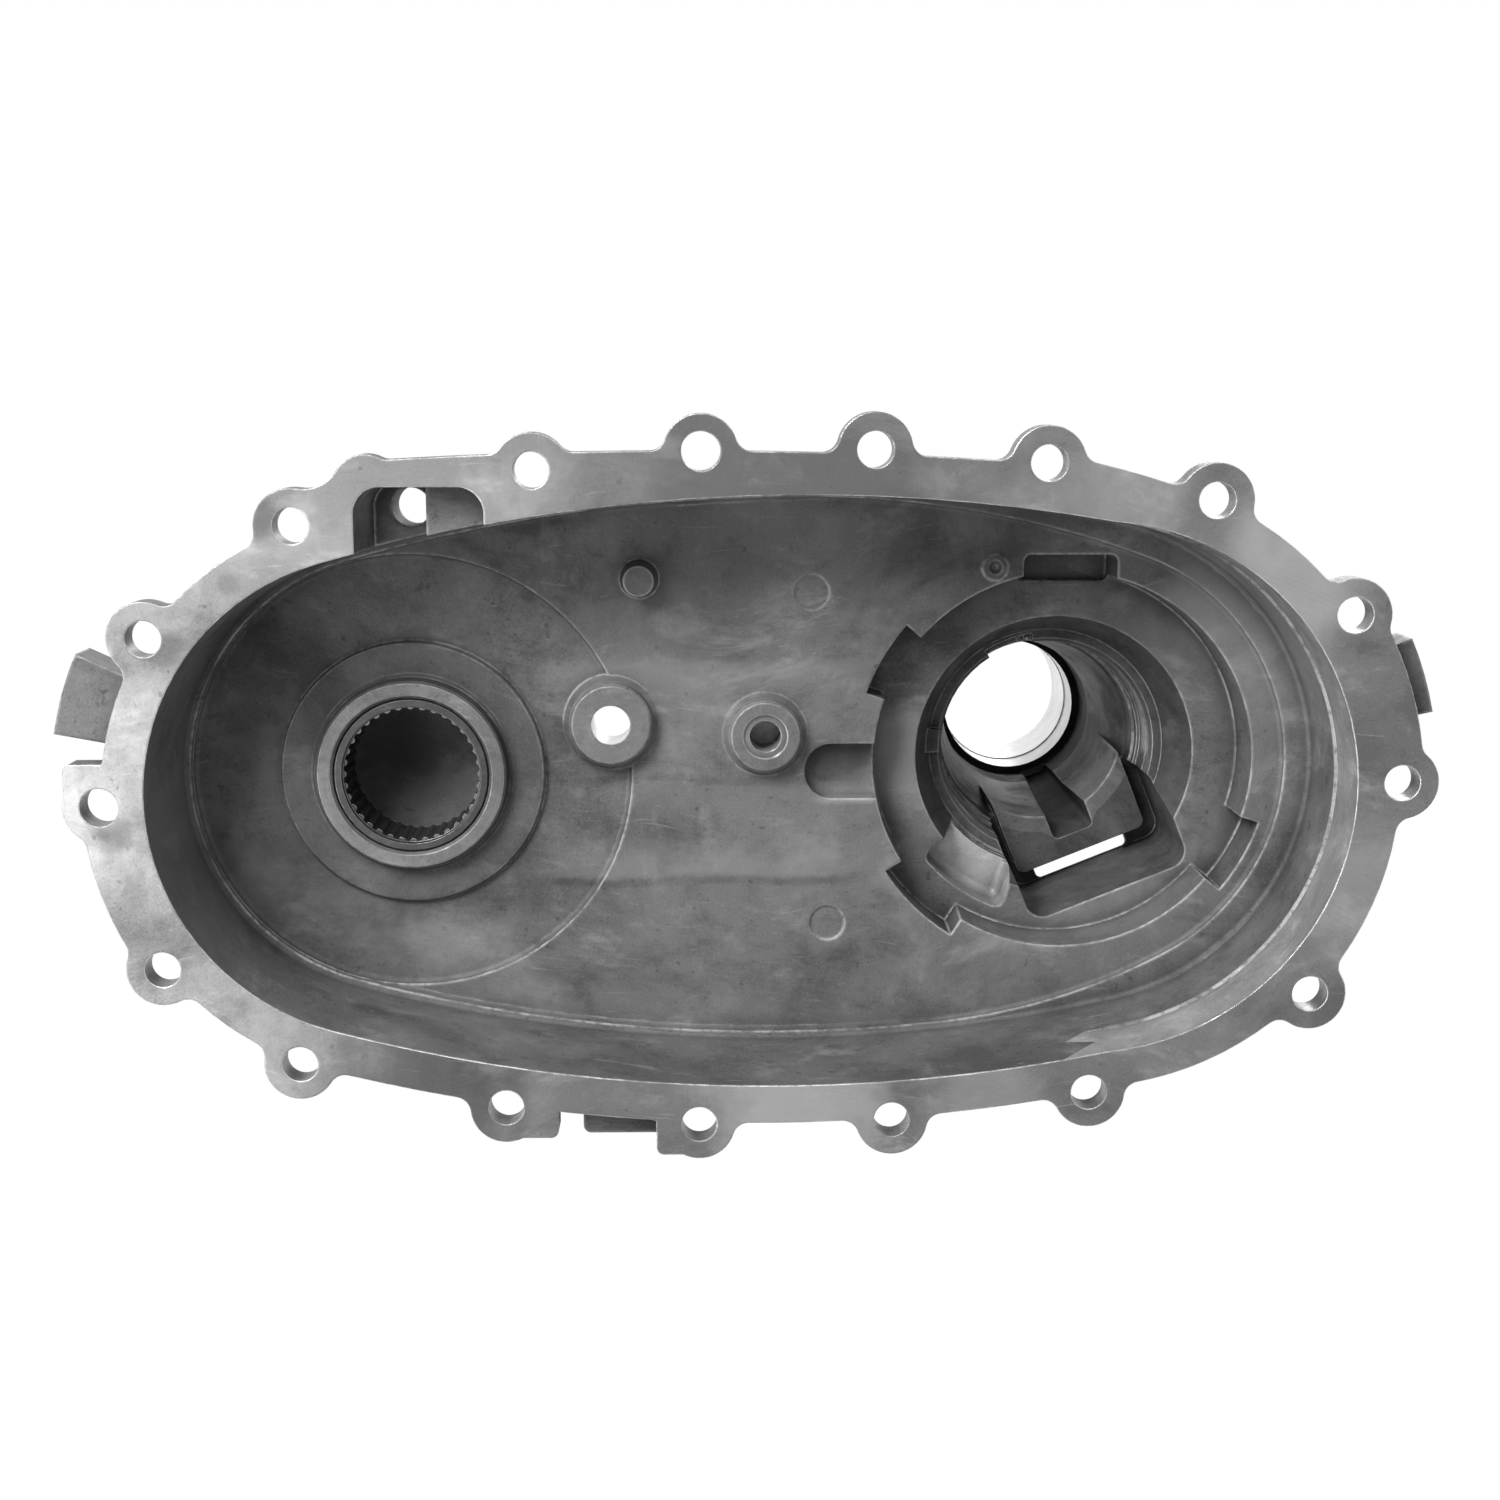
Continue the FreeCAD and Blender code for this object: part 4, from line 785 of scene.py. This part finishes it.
def skin_group() -> bpy.types.NodeTree:
    """Builds the group that gives the fine relief of a metal skin.

    Returns:
        The group, with inputs Scale and Height and output Height.
    """
    group = ShaderGroup(
        "metal_skin",
        {"Scale": "NodeSocketFloat", "Height": "NodeSocketFloat"},
        {"Height": "NodeSocketFloat"},
    )
    nodes = group.nodes
    place = nodes.place()
    fine = nodes.noise(place, group.give("Scale"), detail=3.0, rough=0.6)
    coarse_scale = nodes.maths("MULTIPLY", group.give("Scale"), COARSE_SCALE)
    coarse = nodes.noise(place, coarse_scale, detail=3.0, rough=0.55)
    both = nodes.maths("ADD", fine, nodes.maths("MULTIPLY", coarse, COARSE_SHARE))
    group.put("Height", nodes.maths("MULTIPLY", both, group.give("Height")))
    return group.tree


def tool_marks_group() -> bpy.types.NodeTree:
    """Builds the group that gives the rings left by a cutting tool.

    Returns:
        The group, with inputs X, Z, Rings, Height and Along, and outputs Height and Tone.
    """
    group = ShaderGroup(
        "tool_marks",
        {name: "NodeSocketFloat" for name in ("X", "Z", "Rings", "Height", "Along")},
        {"Height": "NodeSocketFloat", "Tone": "NodeSocketFloat"},
    )
    nodes = group.nodes
    place = nodes.place()
    split = nodes.split(place)
    dx = nodes.maths("SUBTRACT", split.outputs["X"], group.give("X"))
    dz = nodes.maths("SUBTRACT", split.outputs["Z"], group.give("Z"))
    squares = nodes.maths("ADD", nodes.maths("MULTIPLY", dx, dx), nodes.maths("MULTIPLY", dz, dz))
    radius = nodes.maths("SQRT", squares)
    along = nodes.maths("MULTIPLY", group.give("Along"), split.outputs["Y"])
    across = nodes.maths("MULTIPLY", nodes.maths("SUBTRACT", 1.0, group.give("Along")), radius)
    position = nodes.maths("MULTIPLY", nodes.maths("ADD", along, across), group.give("Rings"))
    line = nodes.add("ShaderNodeTexNoise", noise_dimensions="1D")
    nodes.join(position, line.inputs["W"])
    line.inputs["Scale"].default_value = 1.0
    line.inputs["Detail"].default_value = 2.0
    line.inputs["Roughness"].default_value = 0.7
    patches = nodes.ramp(nodes.noise(place, scale=45.0, detail=3.0, rough=0.6), low=0.35, high=0.65)
    value = nodes.maths("MULTIPLY", line.outputs["Fac"], nodes.maths("ADD", RING_LEAST, patches))
    group.put("Height", nodes.maths("MULTIPLY", value, group.give("Height")))
    group.put("Tone", value)
    return group.tree


def soft_patch_group() -> bpy.types.NodeTree:
    """Builds the group that fades out from a point with a cloudy rim.

    Returns:
        The group, with inputs X, Y, Z, Radius and Ragged and output Mask.
    """
    group = ShaderGroup(
        "soft_patch",
        {name: "NodeSocketFloat" for name in ("X", "Y", "Z", "Radius", "Ragged")},
        {"Mask": "NodeSocketFloat"},
    )
    nodes = group.nodes
    middle = nodes.add("ShaderNodeCombineXYZ")
    for axis in "XYZ":
        nodes.join(group.give(axis), middle.inputs[axis])
    apart = nodes.add("ShaderNodeVectorMath", operation="DISTANCE")
    nodes.join(nodes.place(), apart.inputs[0])
    nodes.join(middle.outputs[0], apart.inputs[1])
    share = nodes.maths("DIVIDE", apart.outputs["Value"], group.give("Radius"))
    share = nodes.maths("ADD", share, group.give("Ragged"))
    group.put("Mask", nodes.ramp(share, PATCH_FADE.low, PATCH_FADE.high))
    return group.tree


def floor_steps_group() -> bpy.types.NodeTree:
    """Builds the group that gives the two low raised bands across the case's floor, with painted highlights
    on their crests and on the oil groove's lip.

    Returns:
        The group, with input Rise and outputs Height and Light.
    """
    group = ShaderGroup(
        "floor_steps",
        {"Rise": "NodeSocketFloat"},
        {"Height": "NodeSocketFloat", "Light": "NodeSocketFloat"},
    )
    nodes = group.nodes
    place = nodes.place()
    split = nodes.split(place)
    x = split.outputs["X"]
    plain_z = split.outputs["Z"]
    clouds = nodes.noise(place, scale=30.0, detail=3.0, rough=0.6)
    waver = nodes.maths("MULTIPLY", nodes.maths("SUBTRACT", clouds, 0.5), BAND_WAVER * MM)
    z = nodes.maths("ADD", plain_z, waver)
    across = nodes.within(x, BANDS_ACROSS)
    both = nodes.maths("ADD", nodes.within(z, UPPER_BAND), nodes.within(z, LOWER_BAND))
    group.put("Height", nodes.maths("MULTIPLY", nodes.maths("MULTIPLY", both, across), group.give("Rise")))
    # Painted highlights on the bands' upward-facing crests and on the oil groove's lip
    crest_highlight = nodes.maths("ADD", nodes.within(z, UPPER_CREST_HIGHLIGHT), nodes.within(z, LOWER_CREST_HIGHLIGHT))
    lip_highlight = nodes.maths("MULTIPLY", nodes.within(plain_z, GROOVE_LIP_HIGHLIGHT), nodes.within(x, GROOVE_LIP_HIGHLIGHT_ACROSS))
    lip_highlight = nodes.maths("MULTIPLY", lip_highlight, GROOVE_LIP_HIGHLIGHT_STRENGTH)
    group.put("Light", nodes.maths("ADD", nodes.maths("MULTIPLY", crest_highlight, across), lip_highlight))
    return group.tree


@dataclass
class MetalShop:
    """Makes each metal material from the shared effects.

    Args:
        effects: The shared shader groups by name.
    """

    effects: dict[str, bpy.types.NodeTree] = field(default_factory=dict)

    def open(self) -> None:
        """Builds the shared effects once."""
        makers = (
            edge_highlight_and_corner_shade_group,
            mottle_group,
            skin_group,
            tool_marks_group,
            soft_patch_group,
            floor_steps_group,
        )
        for make in makers:
            tree = make()
            self.effects[tree.name] = tree

    def effect(self, nodes: Nodes, name: str, **values: float) -> bpy.types.Node:
        """Places a shared effect in a material.

        Args:
            nodes: The material's nodes.
            name: The effect's name.
            values: The value of each named input.

        Returns:
            The group's node.
        """
        node = nodes.add("ShaderNodeGroup", node_tree=self.effects[name])
        for label, value in values.items():
            node.inputs[label].default_value = value
        return node

    def make(
        self,
        finish: Finish,
        marks: ToolMarks | None = None,
        patches: tuple[Patch, ...] = (),
        floor_rise: float = 0.0,
    ) -> bpy.types.Material:
        """Makes the material of one finish.

        Args:
            finish: The surface's look.
            marks: The tool's marks on it, if it is machined.
            patches: The lighter and darker patches on it: painted light, painted shade and smudges.
            floor_rise: How high the bands across the floor stand, in metres.

        Returns:
            The material.
        """
        material = bpy.data.materials.new(finish.name)
        material.use_nodes = True
        nodes = Nodes(material.node_tree)
        shader = material.node_tree.nodes["Principled BSDF"]
        edge_effects = self.effect(nodes, "edge_wear_and_highlight", Radius=finish.edge_radius, Amount=finish.edge_wear_and_highlight)
        mottle = self.effect(nodes, "mottle", Scale=finish.mottle_scale, Amount=finish.mottle)
        skin = self.effect(nodes, "metal_skin", Scale=finish.grain_scale, Height=finish.grain)
        colour = nodes.mix(mottle.outputs["Dark"], grey(finish.tone), grey(finish.dark))
        colour = nodes.mix(mottle.outputs["Light"], colour, grey(finish.tone * PALE_TONE))
        # Painted light and painted shade, and smudges, in soft patches
        colour = self.patched(nodes, colour, finish, patches)
        height = skin.outputs["Height"]
        if floor_rise > 0.0:
            steps = self.effect(nodes, "floor_steps", Rise=floor_rise)
            height = nodes.maths("ADD", height, steps.outputs["Height"])
            # Painted highlights on the floor bands' crests and on the oil groove's lip
            crest_highlight = nodes.maths("MULTIPLY", steps.outputs["Light"], CREST_HIGHLIGHT_SHARE)
            colour = nodes.mix(crest_highlight, colour, grey(finish.tone * CREST_HIGHLIGHT_TONE))
        if marks:
            rings = self.rings(nodes, marks)
            height = nodes.maths("ADD", height, rings.outputs["Height"])
            shade = nodes.ramp(rings.outputs["Tone"], RING_SHADE.low, RING_SHADE.high)
            colour = nodes.mix(nodes.maths("MULTIPLY", shade, marks.contrast), colour, grey(finish.dark))
        # Painted shade: darkens the colour in corners and creases by ambient occlusion
        corner_shade = nodes.maths("MULTIPLY", edge_effects.outputs["PaintedShade"], CORNER_SHADE_SHARE)
        colour = nodes.mix(corner_shade, colour, grey(finish.dark * CORNER_SHADE_TONE))
        # Lighter edges: partly rubbed wear, partly a painted highlight on convex and concave edges alike
        colour = nodes.mix(edge_effects.outputs["Mask"], colour, grey(finish.edge))
        nodes.join(colour, shader.inputs["Base Color"])
        shader.inputs["Metallic"].default_value = finish.metallic
        shader.inputs["Specular IOR Level"].default_value = SPECULAR
        dull = nodes.maths("MULTIPLY", mottle.outputs["Dark"], STAIN_DULLNESS)
        nodes.join(nodes.maths("ADD", finish.roughness, dull), shader.inputs["Roughness"])
        bump = nodes.add("ShaderNodeBump")
        bump.inputs["Strength"].default_value = 1.0
        bump.inputs["Distance"].default_value = 1.0
        nodes.join(height, bump.inputs["Height"])
        nodes.join(edge_effects.outputs["Normal"], bump.inputs["Normal"])
        nodes.join(bump.outputs["Normal"], shader.inputs["Normal"])
        return material

    def patched(
        self, nodes: Nodes, colour: bpy.types.NodeSocket, finish: Finish, patches: tuple[Patch, ...]
    ) -> bpy.types.NodeSocket:
        """Lays the soft patches of painted light, painted shade and smudges over a colour.

        Args:
            nodes: The material's nodes.
            colour: The colour so far.
            finish: The surface's look.
            patches: The lighter and darker patches on it: painted light, painted shade and smudges.

        Returns:
            The new colour's socket.
        """
        clouds = nodes.noise(nodes.place(), scale=38.0, detail=4.0, rough=0.6)
        ragged = nodes.maths("MULTIPLY", nodes.maths("SUBTRACT", clouds, 0.5), PATCH_RAGGEDNESS)
        for patch in patches:
            x, y, z = (value * MM for value in patch.place)
            spot = self.effect(nodes, "soft_patch", X=x, Y=y, Z=z, Radius=patch.radius * MM)
            nodes.join(ragged, spot.inputs["Ragged"])
            share = nodes.maths("MULTIPLY", spot.outputs["Mask"], abs(patch.strength))
            lighter = patch.strength > 0.0
            tone = finish.tone * LIGHT_PATCH_TONE if lighter else finish.dark * DARK_PATCH_TONE
            colour = nodes.mix(share, colour, grey(tone))
        return colour

    def rings(self, nodes: Nodes, marks: ToolMarks) -> bpy.types.Node:
        """Places the rings that a cutting tool left.

        Args:
            nodes: The material's nodes.
            marks: The tool's marks.

        Returns:
            The group's node.
        """
        return self.effect(
            nodes,
            "tool_marks",
            X=marks.centre[0] * MM,
            Z=marks.centre[1] * MM,
            Rings=marks.rings,
            Height=marks.height,
            Along=float(marks.along),
        )


def grey(value: float) -> tuple[float, float, float, float]:
    """Returns a grey as a colour with alpha."""
    return (value, value, value, 1.0)


@dataclass
class Casting:
    """The casting, whose faces are dressed by how each was made.

    Args:
        shop: What makes the materials.
        spaces: The spaces that tell how each face was made.
        floor_rise: How high the bands across the floor stand, in metres.
        milling_centre: The middle of the cutter's sweep over the mating face, in millimetres.
    """

    shop: MetalShop
    spaces: tuple[Ring | WellPart, ...] = SPACES
    floor_rise: float = FLOOR_BAND_RISE * MM
    milling_centre: Point = (-106.0, -350.0)

    def surface_of(self, centre: Vector, normal: Vector) -> Surface:
        """Tells how a face was made.

        Args:
            centre: The face's middle, in metres.
            normal: The way it faces.

        Returns:
            The kind of surface.
        """
        point = centre / MM
        for space in self.spaces:
            if space.holds(point, normal):
                return space.surface
        return Surface.CAST

    def materials(self) -> dict[Surface, bpy.types.Material]:
        """Makes the material of each kind of surface.

        Returns:
            The materials by surface.
        """
        turned = partial(ToolMarks, MAIN_SHAFT, along=True)
        milling = ToolMarks(self.milling_centre, rings=1400.0, height=5e-6, contrast=0.12)
        boring = ToolMarks(SECOND_SHAFT, rings=1500.0, height=1e-5, contrast=0.25)
        return {
            Surface.CAST: self.shop.make(CAST_SKIN, patches=CAST_PAINTED_LIGHT_AND_SHADE, floor_rise=self.floor_rise),
            Surface.BORE: self.shop.make(BORE_SKIN_AND_PAINTED_SHADE, patches=BORE_PAINTED_SHADE),
            Surface.TUBE: self.shop.make(TUBE_SKIN_AND_PAINTED_SHADE),
            Surface.LAND: self.shop.make(
                TURNED_LAND, turned(rings=2200.0, height=1e-5, contrast=0.2)
            ),
            Surface.SEALING: self.shop.make(SEALING_FACE, milling, FLANGE_SMUDGES_AND_SHEEN),
            Surface.DRILLED: self.shop.make(
                DRILLED_HOLE, turned(rings=2500.0, height=1e-5, contrast=0.4)
            ),
            Surface.TURNED: self.shop.make(
                TURNED_BORE, turned(rings=2200.0, height=1e-5, contrast=0.45)
            ),
            Surface.SEAT: self.shop.make(BORED_SEAT, boring),
            Surface.MILLED: self.shop.make(
                MILLED_BAND, turned(rings=900.0, height=2e-5, contrast=0.6)
            ),
            Surface.TAPPED: self.shop.make(
                TAPPED_HOLE_PAINTED_LIGHT, turned(rings=900.0, height=1e-4, contrast=0.7)
            ),
        }

    def dress(self, node: bpy.types.Object) -> None:
        """Gives each face of the casting its material.

        Args:
            node: The casting's CAD node.
        """
        made = self.materials()
        order = list(made)
        node.data.materials.clear()
        for kind in order:
            node.data.materials.append(made[kind])
        for face in node.data.polygons:
            face.material_index = order.index(self.surface_of(face.center, face.normal))
        LOG.info("casting dressed with %d finishes", len(order))


@dataclass
class NeedleBearing:
    """The needle bearing: its drawn cup, its cage and its rollers.

    Args:
        shop: What makes the materials.
        axis: The bearing's axis, as X and Z in millimetres.
    """

    shop: MetalShop
    axis: Point = SECOND_SHAFT

    def dress(self, nodes: dict[str, bpy.types.Object]) -> None:
        """Gives the bearing's pieces their steel.

        Args:
            nodes: The CAD nodes by name.
        """
        marks = ToolMarks(self.axis, rings=2500.0, height=1e-5, contrast=0.25, along=True)
        steel = self.shop.make(CUP_STEEL, marks)
        rollers = self.shop.make(ROLLER_STEEL)
        for name, material in (
            ("needle_bearing_cup", steel),
            ("needle_bearing_cage", steel),
            ("needle_rollers", rollers),
        ):
            nodes[name].data.materials.clear()
            nodes[name].data.materials.append(material)
            LOG.info("%s dressed", name)


@dataclass
class TailBushing:
    """The plain bushing at the end of the tail.

    Args:
        shop: What makes the materials.
        axis: The bushing's axis, as X and Z in millimetres.
    """

    shop: MetalShop
    axis: Point = MAIN_SHAFT

    def dress(self, node: bpy.types.Object) -> None:
        """Gives the bushing its bright bore.

        Args:
            node: The bushing's CAD node.
        """
        marks = ToolMarks(self.axis, rings=2500.0, height=8e-6, contrast=0.2, along=True)
        node.data.materials.clear()
        node.data.materials.append(self.shop.make(BUSHING_METAL, marks))
        LOG.info("bushing dressed")


@dataclass
class Studio:
    """The floor, the backdrop, the lamps and the camera.

    Args:
        floor_z: The floor's height, in metres.
        floor_size: The length of the floor's side, in metres.
        eye: Where the camera stands, in metres.
        pitch: How far the camera looks down on the mating face, in degrees.
        roll: How far that slope turns round the view, in degrees.
        lens: The camera's focal length, in millimetres.
        sensor: The width of its sensor, in millimetres.
        lit: What the lamps point at, in metres.
        dim: The surroundings' own light, beside the 1 that the camera sees.
        floor_tone: The grey of the floor.
        floor_glow: How bright the floor looks to the camera.
        floor_glow_share: How much of that brightness covers the floor's own shade.
        lamps: The lamps that light the part.
    """

    floor_z: float = -0.6
    floor_size: float = 60.0
    eye: Place = (-114.15 * MM, -655.0 * MM, 124.75 * MM)
    pitch: float = 9.69
    roll: float = -5.68
    lens: float = 52.56
    sensor: float = 36.0
    lit: Place = (-0.106, 0.03, 0.0)
    dim: float = 0.18
    floor_tone: float = 0.85
    floor_glow: float = 1.02
    floor_glow_share: float = 0.98
    lamps: tuple[Lamp, ...] = LAMPS

    def world(self) -> None:
        """Makes the surroundings white for the camera and for reflections."""
        world = bpy.data.worlds.new("studio")
        bpy.context.scene.world = world
        world.use_nodes = True
        nodes = Nodes(world.node_tree)
        ground = world.node_tree.nodes["Background"]
        ground.inputs["Color"].default_value = grey(1.0)
        strength = nodes.maths("ADD", self.dim, nodes.maths("MULTIPLY", nodes.seen(), 1.0 - self.dim))
        nodes.join(strength, ground.inputs["Strength"])

    def floor(self) -> None:
        """Makes the pale floor below the part."""
        bpy.ops.mesh.primitive_plane_add(size=self.floor_size, location=(0.0, 0.0, self.floor_z))
        floor = bpy.context.active_object
        floor.name = "studio_floor"
        floor.data.transform(Matrix.Translation(floor.location))
        floor.location = (0.0, 0.0, 0.0)
        material = bpy.data.materials.new("pale_floor")
        material.use_nodes = True
        nodes = Nodes(material.node_tree)
        material.node_tree.nodes.clear()
        plain = nodes.add("ShaderNodeBsdfDiffuse")
        plain.inputs["Color"].default_value = grey(self.floor_tone)
        bright = nodes.add("ShaderNodeEmission")
        mixed = nodes.add("ShaderNodeMixShader")
        bright.inputs["Strength"].default_value = self.floor_glow
        nodes.join(nodes.maths("MULTIPLY", nodes.seen(), self.floor_glow_share), mixed.inputs[0])
        nodes.join(plain.outputs[0], mixed.inputs[1])
        nodes.join(bright.outputs[0], mixed.inputs[2])
        end = nodes.add("ShaderNodeOutputMaterial")
        nodes.join(mixed.outputs[0], end.inputs["Surface"])
        floor.data.materials.append(material)

    def lamp(self, kind: Lamp) -> None:
        """Hangs a lamp.

        Args:
            kind: The lamp's name, place, size and power.
        """
        data = bpy.data.lights.new(kind.name, "AREA")
        data.size = kind.size
        data.energy = kind.power
        lamp = bpy.data.objects.new(kind.name, data)
        lamp.location = kind.place
        lamp.rotation_euler = (Vector(self.lit) - Vector(kind.place)).to_track_quat("-Z", "Y").to_euler()
        lamp.visible_diffuse = not kind.shine_only
        bpy.context.scene.collection.objects.link(lamp)

    def camera(self) -> None:
        """Sets the camera where the photograph was taken from."""
        pitch = math.radians(self.pitch)
        roll = math.radians(self.roll)
        slope = math.sin(pitch)
        into = Vector((slope * math.sin(roll), -slope * math.cos(roll), math.cos(pitch)))
        right = (Vector((1.0, 0.0, 0.0)) - into * into.x).normalized()
        up = -into.cross(right)
        turn = Matrix((right, into, up)) @ Matrix.Diagonal((1.0, -1.0, -1.0))
        data = bpy.data.cameras.new("photo_camera")
        data.sensor_width = self.sensor
        data.lens = self.lens
        camera = bpy.data.objects.new("photo_camera", data)
        camera.matrix_world = Matrix.Translation(Vector(self.eye)) @ turn.to_4x4()
        bpy.context.scene.collection.objects.link(camera)
        bpy.context.scene.camera = camera

    def build(self) -> None:
        """Sets up everything round the part."""
        bpy.context.scene.view_settings.view_transform = "Standard"
        self.world()
        self.floor()
        for kind in self.lamps:
            self.lamp(kind)
        self.camera()
        LOG.info("studio ready")


def clear_scene() -> None:
    """Removes what Blender starts with."""
    for item in list(bpy.data.objects):
        bpy.data.objects.remove(item, do_unlink=True)


def main() -> None:
    """Loads the CAD part and dresses it."""
    logging.basicConfig(level=logging.INFO)
    clear_scene()
    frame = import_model()
    nodes = frame["nodes"]
    bpy.ops.object.select_all(action="DESELECT")
    Studio().build()
    shop = MetalShop()
    shop.open()
    Casting(shop).dress(nodes["case_half"])
    NeedleBearing(shop).dress(nodes)
    TailBushing(shop).dress(nodes["tail_bushing"])


if __name__ == "__main__":
    main()
